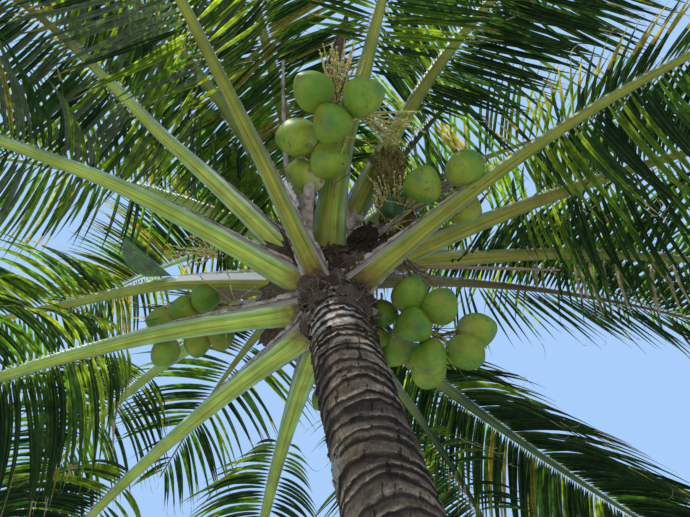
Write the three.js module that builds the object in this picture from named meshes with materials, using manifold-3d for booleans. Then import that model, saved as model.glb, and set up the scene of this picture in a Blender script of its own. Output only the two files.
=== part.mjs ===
// A coconut palm with its fruit, modelled in millimetres with +Z up.
// The origin is on the level ground, at the middle of the flat cut under the trunk.
import * as THREE from 'three';
import { mergeVertices } from 'three/addons/utils/BufferGeometryUtils.js';
import Module from 'manifold-3d';

const wasm = await Module();
wasm.setup();

const GAP = 0.3;

// Trunk: the lowest frond leaves it at CROWN_BASE, and it ends in the bud at TRUNK_TOP.
const CROWN_BASE = 4960;
const TRUNK_TOP = 6150;
const TRUNK_RADIUS = 165;
const BUD_RADIUS = 24;
const BUD_CURVE = 1.6;
const LEAN_AT_FOOT = 0.21;
const LEAN_EASING = 9.8e-6;
const FLARE = 120;
const FLARE_HEIGHT = 330;
const TRUNK_SIDES = 20;
const FLARE_RINGS = [0, 90, 220, 400];
const STEM_RINGS = 10;
const BUD_RINGS = 6;

// Spear: the leaf that is still shut, straight up out of the bud.
const SPEAR_LENGTH = 1750;
const SPEAR_RADIUS = 34;
const SPEAR_SIDES = 6;
// How thick it is, as a share of its radius, at each share of its length.
const SPEAR_PROFILE = [[0, 0.6], [0.18, 1], [0.5, 0.8], [0.8, 0.42]];

// Fronds, oldest first. turn: compass angle from +X; foot: height of its foot; rise: angle of
// its foot above level; droop: how far it has bent down at its tip; sway: how far it has turned
// sideways there; roll: how far its blade is twisted there; angles in degrees.
const FRONDS = [
  { turn: 135, foot: 4980, rise: 20, droop: 58, sway: -6, roll: 12, length: 4800 },
  { turn: 60, foot: 5020, rise: 25, droop: 60, sway: 10, roll: -10, length: 4600 },
  { turn: 165, foot: 5050, rise: 16, droop: 58, sway: -6, roll: 8, length: 4800 },
  { turn: 241, foot: 5080, rise: 28, droop: 60, sway: 3, roll: -10, length: 5000 },
  { turn: 325, foot: 5100, rise: 25, droop: 60, sway: 24, roll: -18, length: 5000 },
  { turn: 107, foot: 5120, rise: 22, droop: 58, sway: -18, roll: 0, length: 4600 },
  { turn: 204, foot: 5140, rise: 22, droop: 58, sway: -6, roll: -8, length: 4800 },
  { turn: 50, foot: 5200, rise: 25, droop: 60, sway: -35, roll: 12, length: 4800 },
  { turn: 215, foot: 5300, rise: 35, droop: 55, sway: 0, roll: 10, length: 5000 },
  { turn: 274, foot: 5320, rise: 35, droop: 55, sway: 38, roll: 8, length: 5000 },
  { turn: 346, foot: 5350, rise: 30, droop: 50, sway: 2, roll: -10, length: 4900 },
  { turn: 167, foot: 5420, rise: 34, droop: 60, sway: -6, roll: -12, length: 4800 },
  { turn: 140, foot: 5450, rise: 42, droop: 60, sway: -12, roll: 10, length: 4800 },
  { turn: 16, foot: 5480, rise: 36, droop: 60, sway: 0, roll: -26, length: 4800 },
  { turn: 78, foot: 5550, rise: 45, droop: 60, sway: 0, roll: -8, length: 4600 },
  { turn: 228, foot: 5600, rise: 55, droop: 70, sway: -10, roll: 14, length: 4800 },
  { turn: 6, foot: 5620, rise: 26, droop: 50, sway: 0, roll: -28, length: 4800 },
  { turn: 300, foot: 5620, rise: 42, droop: 60, sway: 48, roll: 14, length: 5000 },
  { turn: 247, foot: 5650, rise: 58, droop: 70, sway: 18, roll: -10, length: 5000 },
  { turn: 122, foot: 5650, rise: 50, droop: 65, sway: 0, roll: 8, length: 3200 },
  { turn: 186, foot: 5700, rise: 52, droop: 70, sway: 0, roll: 10, length: 4600 },
  { turn: 318, foot: 5750, rise: 58, droop: 70, sway: 10, roll: -12, length: 4600 },
  { turn: 22, foot: 5750, rise: 58, droop: 70, sway: 0, roll: 10, length: 4600 },
  { turn: 350, foot: 5850, rise: 66, droop: 66, sway: 0, roll: 0, length: 4500 },
  { turn: 150, foot: 5850, rise: 68, droop: 66, sway: 0, roll: 0, length: 4500 },
];
const BEND_POWER = 1.4;
const RIB_STEPS = 400;
// A frond that bends further than this is in two pieces, which meet before this pair of leaflets.
const SPLIT_DROOP = 60;
const SPLIT_PAIR = 4;

// Rib of a frond: a clasping foot, a bare leaf stalk, then the part that bears the leaflets.
const RIB_TIP_WIDTH = 12;
const STALK_WIDTH = 140;
const STALK_TAPER = 1.7;
const FOOT_EXTRA = 60;
const FOOT_REACH = 0.035;
const RIB_DEPTH = 0.45;
const RIB_TIP_DEPTH = 9;
const RIB_UNDERSIDE = 0.55;
const FOOT_SUNK = 70;
const STALK_RINGS = [0, 0.05, 0.12, 0.2];
const BLADE_START = 0.25;
const BLADE_END = 0.975;

// Leaflets, each standing for a spray of finer ones. Lengths and angles vary along the blade.
const LEAFLET_PAIRS = 12;
const LEAFLET_LENGTH = 1000;
const LEAFLET_FIRST = 0.62;
const LEAFLET_LAST = 0.36;
const LEAFLET_PEAK = 0.35;
const LEAFLET_ROOT = 0.4;
const LEAFLET_WIDTH = 0.64;
const LEAFLET_THICK = 0.012;
const LEAFLET_SPREAD = 78;
const LEAFLET_SWEEP = 42;
const LEAFLET_LIFT = 12;
// How hard the outer half of a leaflet hangs, on a level frond and on one that stands up steeply.
const SAG_OLD = 1.3;
const SAG_YOUNG = 0.4;
const YOUNG_RISE = 68;
const SHORTER = [1, 0.72, 0.5];
const CLEARANCE = 4;

// Bunches of fruit. turn and foot as on a frond; end: where the stalk ends; fruit: width of a
// nut; nuts: their middles.
const BUNCHES = [
  {
    name: 'bunch_front', turn: 254, foot: 5250, end: [-790, -1040, 5480], fruit: 208,
    nuts: [
      [-920, -1100, 5360], [-650, -1070, 5320], [-820, -940, 5280],
      [-1010, -840, 5420], [-840, -720, 5400], [-970, -620, 5500],
    ],
  },
  {
    name: 'bunch_right', turn: 33, foot: 5180, end: [-190, 300, 5250], fruit: 200,
    nuts: [
      [-380, 20, 5240], [-220, 50, 5160], [-370, 150, 5110], [-450, 380, 5280], [-280, 320, 5060],
      [-70, 320, 5120], [10, 240, 5250], [-260, 500, 5240],
    ],
  },
  {
    name: 'bunch_front_right', turn: 322, foot: 5480, end: [-200, -480, 5640], fruit: 208,
    nuts: [[-310, -570, 5440], [-70, -650, 5500], [-60, -390, 5590]],
  },
  {
    name: 'bunch_left', turn: 157, foot: 5300, end: [-1740, 310, 5560], fruit: 165,
    nuts: [
      [-1600, 140, 5480], [-1730, 220, 5480], [-1870, 300, 5500], [-1830, 430, 5340],
      [-1660, 420, 5440], [-1520, 390, 5480],
    ],
  },
  {
    name: 'bunch_back', turn: 84, foot: 5330, end: [-790, 760, 5560], fruit: 150,
    nuts: [[-880, 660, 5450], [-720, 690, 5440], [-800, 800, 5390], [-890, 840, 5490], [-700, 850, 5480]],
  },
];
const NUT_LENGTH = 1.14;
const NUT_SIDES = 8;
// How wide a nut is, as a share of its half width, at each share of its half length.
const NUT_PROFILE = [[0.2, -0.98], [0.88, -0.5], [0.97, 0.34], [0, 1]];
const BUNCH_STALK_FOOT = 24;
const BUNCH_STALK_END = 11;
const BUNCH_STALK_LIFT = 120;
const BUNCH_STALK_SIDES = 6;
const BUNCH_STALK_RINGS = 5;
const NUT_SEATS = 12;
const FIRST_SEAT = 5;

// Spathes: the woody boat-shaped bracts that the bunches came out of, slender and pointed.
const SPATHES = [
  { name: 'spathe_front', turn: 270, foot: 5560, rise: 38, droop: 30, length: 1500 },
  { name: 'spathe_left', turn: 160, foot: 5550, rise: 30, droop: 40, length: 1250 },
  { name: 'spathe_right', turn: 333, foot: 5600, rise: 36, droop: 30, length: 1150 },
];
const SPATHE_WIDTH = 92;
const SPATHE_DEPTH = 54;
const SPATHE_STALK = 20;
const SPATHE_RINGS = 7;
const SPATHE_START = 0.12;
const SPATHE_FULLNESS = 0.8;
// The section of the boat, as shares of its half width and its depth, with its hollow on top.
const SPATHE_SECTION = [[1, 0], [0, -0.2], [-1, 0], [-0.6, -0.75], [0, -1], [0.6, -0.75]];

const DEGREE = Math.PI / 180;
const EAST = new THREE.Vector3(1, 0, 0);
const NORTH = new THREE.Vector3(0, 1, 0);
const DOWN = new THREE.Vector3(0, 0, -1);

const barkGrey = new THREE.MeshStandardMaterial({ color: 0x6e6154, roughness: 0.95, metalness: 0 });
const frondGreen = new THREE.MeshStandardMaterial({ color: 0x4f7a2c, roughness: 0.55, metalness: 0 });
const spearGreen = new THREE.MeshStandardMaterial({ color: 0x9fae4e, roughness: 0.55, metalness: 0 });
const nutGreen = new THREE.MeshStandardMaterial({ color: 0x7f9a35, roughness: 0.4, metalness: 0 });
const spatheBrown = new THREE.MeshStandardMaterial({ color: 0x6b5138, roughness: 0.8, metalness: 0 });

// The trunk's centre line: it leans towards -X, most at its foot.
function stemAxis(z) {
  return new THREE.Vector3(-(LEAN_AT_FOOT * z - LEAN_EASING * z * z), 0, z);
}

function stemRadius(z) {
  const flare = FLARE * Math.exp(-z / FLARE_HEIGHT);
  if (z <= CROWN_BASE) return TRUNK_RADIUS + flare;
  const up = (z - CROWN_BASE) / (TRUNK_TOP - CROWN_BASE);
  return TRUNK_RADIUS - (TRUNK_RADIUS - BUD_RADIUS) * up ** BUD_CURVE;
}

// A mesh in the making: points, and triangles that face out.
class Skin {
  constructor() {
    this.points = [];
    this.triangles = [];
  }

  add(point) {
    this.points.push(point.x, point.y, point.z);
    return this.points.length / 3 - 1;
  }

  quad(a, b, c, d) {
    this.triangles.push(a, b, c, a, c, d);
  }

  // The wall between two rings of point numbers, leaving out the sides named in open.
  wall(lower, upper, open = []) {
    lower.forEach((point, i) => {
      const next = (i + 1) % lower.length;
      if (!open.includes(i)) this.quad(point, lower[next], upper[next], upper[i]);
    });
  }

  // The cone from a ring of point numbers up to one point.
  cone(ring, tip) {
    ring.forEach((point, i) => this.triangles.push(point, ring[(i + 1) % ring.length], tip));
  }

  // The flat end under a ring.
  end(ring) {
    for (let i = 1; i < ring.length - 1; i += 1) this.triangles.push(ring[0], ring[i + 1], ring[i]);
  }

  // The flat end on a ring.
  cap(ring) {
    this.end([...ring].reverse());
  }

  // The walls from ring to ring, with a flat end under the first.
  loft(rings) {
    this.end(rings[0]);
    for (let i = 1; i < rings.length; i += 1) this.wall(rings[i - 1], rings[i]);
    return rings[rings.length - 1];
  }

  // A ring of points round a middle, in the plane of two directions.
  round(middle, radius, sides, first, second) {
    return Array.from({ length: sides }, (_, i) => {
      const angle = (2 * Math.PI * i) / sides;
      return this.add(middle.clone()
        .addScaledVector(first, radius * Math.cos(angle))
        .addScaledVector(second, radius * Math.sin(angle)));
    });
  }

  solid() {
    return new wasm.Manifold(new wasm.Mesh({
      numProp: 3,
      vertProperties: new Float32Array(this.points),
      triVerts: new Uint32Array(this.triangles),
    }));
  }
}

// The outer surface alone of the largest piece, so that sealed hollows and scraps are gone.
function largest(solid) {
  const pieces = solid.decompose();
  return pieces.reduce((best, piece) => (piece.volume() > best.volume() ? piece : best));
}

function fromGeometry(geometry) {
  const bare = geometry.clone();
  bare.deleteAttribute('normal');
  bare.deleteAttribute('uv');
  const merged = mergeVertices(bare, 1e-3);
  return new wasm.Manifold(new wasm.Mesh({
    numProp: 3,
    vertProperties: new Float32Array(merged.attributes.position.array),
    triVerts: new Uint32Array(merged.index.array),
  }));
}

function toMesh(solid, name, material) {
  const data = solid.getMesh();
  const geometry = new THREE.BufferGeometry();
  geometry.setAttribute('position', new THREE.BufferAttribute(data.vertProperties, 3));
  geometry.setIndex(new THREE.BufferAttribute(data.triVerts, 1));
  geometry.computeVertexNormals();
  const mesh = new THREE.Mesh(geometry, material);
  mesh.name = name;
  return mesh;
}

// The trunk from its flat cut to the bud, its rings level, grown outwards by margin.
function trunkSolid(margin) {
  const skin = new Skin();
  const heights = [...FLARE_RINGS];
  const lowest = FLARE_RINGS[FLARE_RINGS.length - 1];
  for (let i = 1; i <= STEM_RINGS; i += 1) {
    heights.push(lowest + (i * (CROWN_BASE - lowest)) / STEM_RINGS);
  }
  for (let i = 1; i <= BUD_RINGS; i += 1) {
    heights.push(CROWN_BASE + (i * (TRUNK_TOP - CROWN_BASE)) / BUD_RINGS);
  }
  skin.cap(skin.loft(heights.map(
    (z) => skin.round(stemAxis(z), stemRadius(z) + margin, TRUNK_SIDES, EAST, NORTH))));
  return skin.solid();
}

// A line that leaves the stem at a compass angle and a height, and bends by BEND_POWER on its
// way out. Each point has the way on (along), the way sideways (side) and the way up (up).
function growthLine({ turn, foot, rise, droop, sway = 0, roll = 0, length }, sunk) {
  const heading = turn * DEGREE;
  const outward = new THREE.Vector3(Math.cos(heading), Math.sin(heading), 0);
  const place = stemAxis(foot).addScaledVector(outward, stemRadius(foot));
  const points = [];
  for (let i = 0; i <= RIB_STEPS; i += 1) {
    const t = i / RIB_STEPS;
    const bent = t ** BEND_POWER;
    const pitch = (rise - droop * bent) * DEGREE;
    const course = heading + sway * bent * DEGREE;
    const along = new THREE.Vector3(
      Math.cos(pitch) * Math.cos(course), Math.cos(pitch) * Math.sin(course), Math.sin(pitch));
    const side = new THREE.Vector3(-Math.sin(course), Math.cos(course), 0);
    side.applyAxisAngle(along, roll * bent * DEGREE);
    const up = new THREE.Vector3().crossVectors(along, side);
    if (i === 0) place.addScaledVector(along, -sunk);
    points.push({ t, place: place.clone(), along, side, up });
    place.addScaledVector(along, (length + sunk) / RIB_STEPS);
  }
  return points;
}

function pointAt(line, t) {
  return line[Math.round(t * RIB_STEPS)];
}

function ribWidth(t) {
  return RIB_TIP_WIDTH + STALK_WIDTH * (1 - t) ** STALK_TAPER + FOOT_EXTRA * Math.exp(-t / FOOT_REACH);
}

function ribDepth(t) {
  return RIB_TIP_DEPTH + RIB_DEPTH * STALK_WIDTH * (1 - t) ** STALK_TAPER;
}

// The four corners of the rib's section: side top, other side top, other side low, side low.
function ribCorners(line, t, margin = 0) {
  const at = pointAt(line, t);
  const half = ribWidth(t) / 2 + margin;
  const deep = ribDepth(t) / 2 + margin;
  const low = half * RIB_UNDERSIDE;
  return [[half, deep], [-half, deep], [-low, -deep], [low, -deep]].map(
    ([across, high]) => at.place.clone().addScaledVector(at.side, across).addScaledVector(at.up, high));
}

// The leaf stalk alone, up to where the leaflets start, grown outwards by margin.
function stalkSolid(line, margin) {
  const skin = new Skin();
  skin.cap(skin.loft([...STALK_RINGS, BLADE_START].map(
    (t) => ribCorners(line, t, margin).map((corner) => skin.add(corner)))));
  return skin.solid();
}

function leafletShare(along) {
  if (along < LEAFLET_PEAK) {
    return 1 - (1 - LEAFLET_FIRST) * (1 - along / LEAFLET_PEAK) ** 2;
  }
  return 1 - (1 - LEAFLET_LAST) * ((along - LEAFLET_PEAK) / (1 - LEAFLET_PEAK)) ** 2;
}

// One leaflet's widest section and its tip, for a side of 1 or -1, with its length cut to share.
// Its inner half leaves the rib in the blade's plane, and its outer half hangs from there.
function leafletShape(frond, line, index, side, share) {
  const along = index / (LEAFLET_PAIRS - 1);
  const pitch = ((BLADE_END - BLADE_START) * frond.length) / LEAFLET_PAIRS;
  const t = BLADE_START + (BLADE_END - BLADE_START) * ((index + 0.5) / LEAFLET_PAIRS);
  const at = pointAt(line, t);
  const youth = Math.min(1, frond.rise / YOUNG_RISE);
  const spread = (LEAFLET_SPREAD - LEAFLET_SWEEP * along) * DEGREE;
  const lift = LEAFLET_LIFT * youth * DEGREE;
  const length = LEAFLET_LENGTH * leafletShare(along);
  const first = at.along.clone().multiplyScalar(Math.cos(spread));
  first.addScaledVector(at.side, side * Math.sin(spread) * Math.cos(lift));
  first.addScaledVector(at.up, Math.sin(spread) * Math.sin(lift));
  const sag = SAG_OLD + (SAG_YOUNG - SAG_OLD) * youth;
  const second = first.clone().addScaledVector(DOWN, sag).normalize();
  const root = at.place.clone().addScaledVector(at.side, (side * ribWidth(t)) / 2);
  const half = (length * share) / 2;
  const middle = root.clone().addScaledVector(first, half);
  const tip = middle.clone().addScaledVector(second, half);
  const mean = first.clone().add(second).normalize();
  const wide = at.along.clone().addScaledVector(mean, -at.along.dot(mean)).normalize();
  const flat = new THREE.Vector3().crossVectors(mean, wide).multiplyScalar(-side);
  const halfWide = (LEAFLET_WIDTH * pitch * (0.5 + 0.5 * leafletShare(along))) / 2;
  const halfThick = (LEAFLET_THICK * length) / 2;
  const section = (near, high) => middle.clone()
    .addScaledVector(wide, near * halfWide).addScaledVector(flat, high * halfThick);
  return { t, pitch, section, tip };
}

// The numbers of the rib's rings on either side of a leaflet's root.
function rootSpan(shape, frond) {
  const half = (LEAFLET_ROOT * shape.pitch) / frond.length / 2;
  return [shape.t - half, shape.t + half];
}

// A leaflet as a solid of its own, a little thicker than the real one, to test its room with.
function leafletProbe(frond, line, shape, side) {
  const skin = new Skin();
  const [from, to] = rootSpan(shape, frond);
  const [near, far] = [ribCorners(line, from), ribCorners(line, to)];
  const picks = side > 0 ? [near[3], near[0], far[0], far[3]] : [near[1], near[2], far[2], far[1]];
  const root = picks.map((corner) => skin.add(corner));
  const middle = sectionOrder(side).map(([step, high]) => {
    const corner = shape.section(step, high);
    const centre = shape.section(0, 0);
    const away = corner.clone().sub(centre).normalize();
    return skin.add(corner.addScaledVector(away, CLEARANCE));
  });
  skin.end(root);
  skin.wall(root, middle);
  skin.cone(middle, skin.add(shape.tip));
  return skin.solid();
}

// Near or far, high or low: the order of the corners round a leaflet's root.
function sectionOrder(side) {
  return side > 0 ? [[-1, -1], [-1, 1], [1, 1], [1, -1]] : [[-1, 1], [-1, -1], [1, -1], [1, 1]];
}

// A frond between two stations: its rib with the leaflets whose share is over nothing.
function frondSolid(frond, line, shares, fromPair, toPair) {
  const skin = new Skin();
  const ringAt = (t, trim = 0) => {
    const corners = ribCorners(line, t);
    const shift = pointAt(line, t).along.clone().multiplyScalar(trim);
    return corners.map((corner) => skin.add(corner.add(shift)));
  };
  const rings = fromPair === 0
    ? STALK_RINGS.map((t) => ringAt(t))
    : [ringAt(splitStation(frond, line, fromPair), GAP / 2)];
  let last = skin.loft(rings);
  for (let index = fromPair; index < toPair; index += 1) {
    const [near, far] = rootSpan(leafletShape(frond, line, index, 1, 1), frond).map((t) => ringAt(t));
    skin.wall(last, near);
    const open = [];
    [1, -1].forEach((side) => {
      const share = shares[index][side > 0 ? 0 : 1];
      if (share === 0) return;
      const corner = side > 0 ? 3 : 1;
      const next = (corner + 1) % 4;
      open.push(corner);
      const leaf = leafletShape(frond, line, index, side, share);
      const root = [near[corner], near[next], far[next], far[corner]];
      const middle = sectionOrder(side).map(([step, high]) => skin.add(leaf.section(step, high)));
      skin.wall(root, middle);
      skin.cone(middle, skin.add(leaf.tip));
    });
    skin.wall(near, far, open);
    last = far;
  }
  if (toPair < LEAFLET_PAIRS) {
    const end = ringAt(splitStation(frond, line, toPair), -GAP / 2);
    skin.wall(last, end);
    skin.cap(end);
  } else {
    skin.cone(last, skin.add(pointAt(line, 1).place));
  }
  return skin.solid();
}

// Where a frond is split: midway between the leaflets before and after.
function splitStation(frond, line, pair) {
  const before = leafletShape(frond, line, pair - 1, 1, 1).t;
  const after = leafletShape(frond, line, pair, 1, 1).t;
  return (before + after) / 2;
}

// A round tube along a curve, tapering from one radius to another.
function tube(curve, startRadius, endRadius, sides, steps) {
  const skin = new Skin();
  const frames = curve.computeFrenetFrames(steps, false);
  skin.cap(skin.loft(Array.from({ length: steps + 1 }, (_, i) => {
    const radius = startRadius + ((endRadius - startRadius) * i) / steps;
    return skin.round(curve.getPointAt(i / steps), radius, sides, frames.normals[i], frames.binormals[i]);
  })));
  return skin.solid();
}

// The stalk of a bunch: out of the stem, up in an arch, and down to the nuts.
function bunchStalk(bunch) {
  const heading = bunch.turn * DEGREE;
  const outward = new THREE.Vector3(Math.cos(heading), Math.sin(heading), 0);
  const start = stemAxis(bunch.foot).addScaledVector(outward, stemRadius(bunch.foot) - BUNCH_STALK_FOOT * 2);
  const end = new THREE.Vector3(...bunch.end);
  const lift = start.clone().lerp(end, 0.6);
  lift.z += BUNCH_STALK_LIFT;
  return new THREE.QuadraticBezierCurve3(start, lift, end);
}

// One nut: an egg shape whose stem end is drawn out into a thin stem, back to the bunch's stalk.
function nutSolid(middle, width, root) {
  const radius = width / 2;
  const stem = middle.clone().sub(root);
  const profile = NUT_PROFILE.map(
    ([wide, high]) => new THREE.Vector2(wide * radius, high * radius * NUT_LENGTH));
  profile.unshift(new THREE.Vector2(0, -stem.length()));
  const nut = new THREE.LatheGeometry(profile, NUT_SIDES);
  const turn = new THREE.Quaternion().setFromUnitVectors(new THREE.Vector3(0, 1, 0), stem.normalize());
  nut.applyQuaternion(turn);
  nut.translate(middle.x, middle.y, middle.z);
  return fromGeometry(nut);
}

function bunchSolid(bunch, trunkRoom) {
  const stalk = bunchStalk(bunch);
  let solid = tube(stalk, BUNCH_STALK_FOOT, BUNCH_STALK_END, BUNCH_STALK_SIDES, BUNCH_STALK_RINGS);
  bunch.nuts.forEach((place) => {
    const middle = new THREE.Vector3(...place);
    const seats = stalk.getPoints(NUT_SEATS).slice(FIRST_SEAT, NUT_SEATS);
    const root = seats.reduce((best, point) => (
      point.distanceTo(middle) < best.distanceTo(middle) ? point : best));
    solid = solid.add(nutSolid(middle, bunch.fruit, root));
  });
  return largest(solid.subtract(trunkRoom));
}

// A spathe: a boat with a keel below and a hollow top, pointed at its far end.
function spatheSolid(spathe, trunkRoom) {
  const line = growthLine(spathe, FOOT_SUNK);
  const skin = new Skin();
  const last = skin.loft(Array.from({ length: SPATHE_RINGS }, (_, i) => {
    const t = i / SPATHE_RINGS;
    const at = pointAt(line, t);
    const swell = Math.sin(Math.PI * (SPATHE_START + (1 - SPATHE_START) * t)) ** SPATHE_FULLNESS;
    const half = (SPATHE_STALK + SPATHE_WIDTH * swell) / 2;
    const deep = SPATHE_STALK / 2 + SPATHE_DEPTH * swell;
    return SPATHE_SECTION.map(([across, high]) => skin.add(
      at.place.clone().addScaledVector(at.side, across * half).addScaledVector(at.up, high * deep)));
  }));
  skin.cone(last, skin.add(pointAt(line, 1).place));
  return largest(skin.solid().subtract(trunkRoom));
}

// The spear: a slim spindle on the bud, clear of it by the gap.
function spearSolid() {
  const skin = new Skin();
  const foot = stemAxis(TRUNK_TOP);
  foot.z += GAP;
  const up = (share) => foot.clone().addScaledVector(DOWN, -share * SPEAR_LENGTH);
  const last = skin.loft(SPEAR_PROFILE.map(
    ([share, stout]) => skin.round(up(share), SPEAR_RADIUS * stout, SPEAR_SIDES, EAST, NORTH)));
  skin.cone(last, skin.add(up(1)));
  return skin.solid();
}

// Whether a solid runs into any of the others.
function meets(probe, others) {
  const box = probe.boundingBox();
  return others.some((other) => {
    const room = other.room;
    const apart = [0, 1, 2].some((i) => box.min[i] > room.max[i] || box.max[i] < room.min[i]);
    return !apart && !probe.intersect(other.solid).isEmpty();
  });
}

// A solid with its owner and its box, to test others against.
function kept(solid, owner) {
  return { solid, owner, room: solid.boundingBox() };
}

// A solid cut clear of other solids.
function clearOf(solid, rooms) {
  return largest(rooms.reduce((rest, room) => rest.subtract(room), solid));
}

const palm = new THREE.Group();
const trunkRoom = trunkSolid(GAP);
palm.add(toMesh(trunkSolid(0), 'trunk', barkGrey));

const lines = FRONDS.map((frond) => growthLine(frond, FOOT_SUNK));
const stalkRooms = lines.map((line) => stalkSolid(line, GAP));
const fixed = [kept(trunkRoom, 'trunk'), ...stalkRooms.map((room, i) => kept(room, i))];

BUNCHES.forEach((bunch) => {
  const solid = clearOf(bunchSolid(bunch, trunkRoom), stalkRooms);
  fixed.push(kept(solid, bunch.name));
  palm.add(toMesh(solid, bunch.name, nutGreen));
});

SPATHES.forEach((spathe) => {
  const solid = clearOf(spatheSolid(spathe, trunkRoom), stalkRooms);
  fixed.push(kept(solid, spathe.name));
  palm.add(toMesh(solid, spathe.name, spatheBrown));
});

const spear = spearSolid();
fixed.push(kept(spear, 'spear'));
palm.add(toMesh(spear, 'spear', spearGreen));

// Each leaflet is shortened, or left out, where another frond, a nut or the trunk is in its way.
const grown = [];
const bareShares = Array.from({ length: LEAFLET_PAIRS }, () => [0, 0]);
const ribs = FRONDS.map((frond, i) => kept(frondSolid(frond, lines[i], bareShares, 0, LEAFLET_PAIRS), i));
FRONDS.forEach((frond, i) => {
  const line = lines[i];
  const inTheWay = [...fixed, ...ribs, ...grown].filter((other) => other.owner !== i);
  const shares = bareShares.map((_, index) => [1, -1].map((side) => {
    const share = SHORTER.find((length) => {
      const shape = leafletShape(frond, line, index, side, length);
      const probe = leafletProbe(frond, line, shape, side);
      return !meets(probe, inTheWay);
    });
    return share ?? 0;
  }));
  const name = `frond_${String(i + 1).padStart(2, '0')}`;
  const split = frond.droop > SPLIT_DROOP ? SPLIT_PAIR : LEAFLET_PAIRS;
  const lower = clearOf(frondSolid(frond, line, shares, 0, split), [trunkRoom, ...stalkRooms.slice(0, i)]);
  const whole = split === LEAFLET_PAIRS;
  palm.add(toMesh(lower, whole ? name : `${name}_lower`, frondGreen));
  grown.push(kept(lower, i));
  if (!whole) {
    const upper = frondSolid(frond, line, shares, split, LEAFLET_PAIRS);
    palm.add(toMesh(upper, `${name}_upper`, frondGreen));
    grown.push(kept(upper, i));
  }
});

export default palm;
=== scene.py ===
import math

import bpy
import numpy as np
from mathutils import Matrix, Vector


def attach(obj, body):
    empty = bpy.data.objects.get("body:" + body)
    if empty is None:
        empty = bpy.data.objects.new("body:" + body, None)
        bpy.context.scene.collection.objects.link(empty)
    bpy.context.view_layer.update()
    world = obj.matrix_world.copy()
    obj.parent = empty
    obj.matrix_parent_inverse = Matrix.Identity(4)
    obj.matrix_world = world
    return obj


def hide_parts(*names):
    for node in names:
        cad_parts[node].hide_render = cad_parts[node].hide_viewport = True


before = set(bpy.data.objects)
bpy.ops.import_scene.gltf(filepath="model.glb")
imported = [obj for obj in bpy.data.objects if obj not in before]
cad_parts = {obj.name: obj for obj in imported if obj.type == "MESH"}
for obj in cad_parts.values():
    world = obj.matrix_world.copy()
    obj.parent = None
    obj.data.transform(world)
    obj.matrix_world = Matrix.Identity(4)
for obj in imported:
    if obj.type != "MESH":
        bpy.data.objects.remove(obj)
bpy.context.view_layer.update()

# A coconut palm, in metres, with +Z up and the trunk leaning towards -X. The growth rule of the
# solids is written again here and carried down to single leaflets, twigs and rings of bark.
rng = np.random.default_rng(20240611)

CROWN_BASE = 4.96
TRUNK_TOP = 6.15
TRUNK_RADIUS = 0.165
BUD_RADIUS = 0.024
BUD_CURVE = 1.6
LEAN_AT_FOOT = 0.21
LEAN_EASING = 0.0098
FLARE = 0.12
FLARE_HEIGHT = 0.33
SPEAR_LENGTH = 1.75

# Fronds, oldest first: turn, foot, rise, droop, sway, roll, length.
FRONDS = [
    (135, 4.98, 20, 58, -6, 12, 4.8),
    (60, 5.02, 25, 60, 10, -10, 4.6),
    (165, 5.05, 16, 58, -6, 8, 4.8),
    (241, 5.08, 28, 60, 3, -10, 5.0),
    (325, 5.10, 25, 60, 24, -18, 5.0),
    (107, 5.12, 22, 58, -18, 0, 4.6),
    (204, 5.14, 22, 58, -6, -8, 4.8),
    (50, 5.20, 25, 60, -35, 12, 4.8),
    (215, 5.30, 35, 55, 0, 10, 5.0),
    (274, 5.32, 35, 55, 38, 8, 5.0),
    (346, 5.35, 30, 50, 2, -10, 4.9),
    (167, 5.42, 34, 60, -6, -12, 4.8),
    (140, 5.45, 42, 60, -12, 10, 4.8),
    (16, 5.48, 36, 60, 0, -26, 4.8),
    (78, 5.55, 45, 60, 0, -8, 4.6),
    (228, 5.60, 55, 70, -10, 14, 4.8),
    (6, 5.62, 26, 50, 0, -28, 4.8),
    (300, 5.62, 42, 60, 48, 14, 5.0),
    (247, 5.65, 58, 70, 18, -10, 5.0),
    (122, 5.65, 50, 65, 0, 8, 3.2),
    (186, 5.70, 52, 70, 0, 10, 4.6),
    (318, 5.75, 58, 70, 10, -12, 4.6),
    (22, 5.75, 58, 70, 0, 10, 4.6),
    (350, 5.85, 66, 66, 0, 0, 4.5),
    (150, 5.85, 68, 66, 0, 0, 4.5),
]
SPLIT_DROOP = 60
# The tables below go by a frond's number, from 1, or by that and one side of its blade, 1 or -1.
# Where a blade starts, where its bare stalk is longer or shorter than the usual.
BLADE_STARTS = {
    1: 0.38, 7: 0.30, 8: 0.11, (10, -1): 0.285, 12: 0.33, 13: 0.48, 14: 0.175, 16: 0.14, 17: 0.27,
    19: 0.14, 21: 0.12, 22: 0.14, 24: 0.12, 25: 0.10}
# How much of a blade is in painted sunlight, its yellower greens, on side 1 and side -1: 0 none, 1 most
# of it.
SUNLIT_SHARES = {
    1: (0.25, 0.25), 3: (0.06, 0.0), 4: (0.50, 0.20), 5: (0.03, 0.25), 9: (0.25, 0.10),
    12: (0.90, 0.25), 13: (0.0, 0.05), 16: (0.75, 0.75), 17: (0.1, 0.5), 18: (0.03, 0.60),
    19: (0.75, 0.75), 20: (0.6, 0.6), 21: (0.7, 0.8), 22: (0.35, 0.35), 23: (0.5, 0.5),
    24: (0.5, 0.65), 25: (0.85, 0.85)}
LEAST_LIGHT = (0.06, 0.06)
# Fronds whose first leaflets are as dark as the rest, without the painted sunlight that yellows others'
# first leaflets.
SHADED_FEET = (8, 14, 18)
# Fronds with golden leaflets among the green.
GOLDEN = (4, 16, 19, 25)
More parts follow.
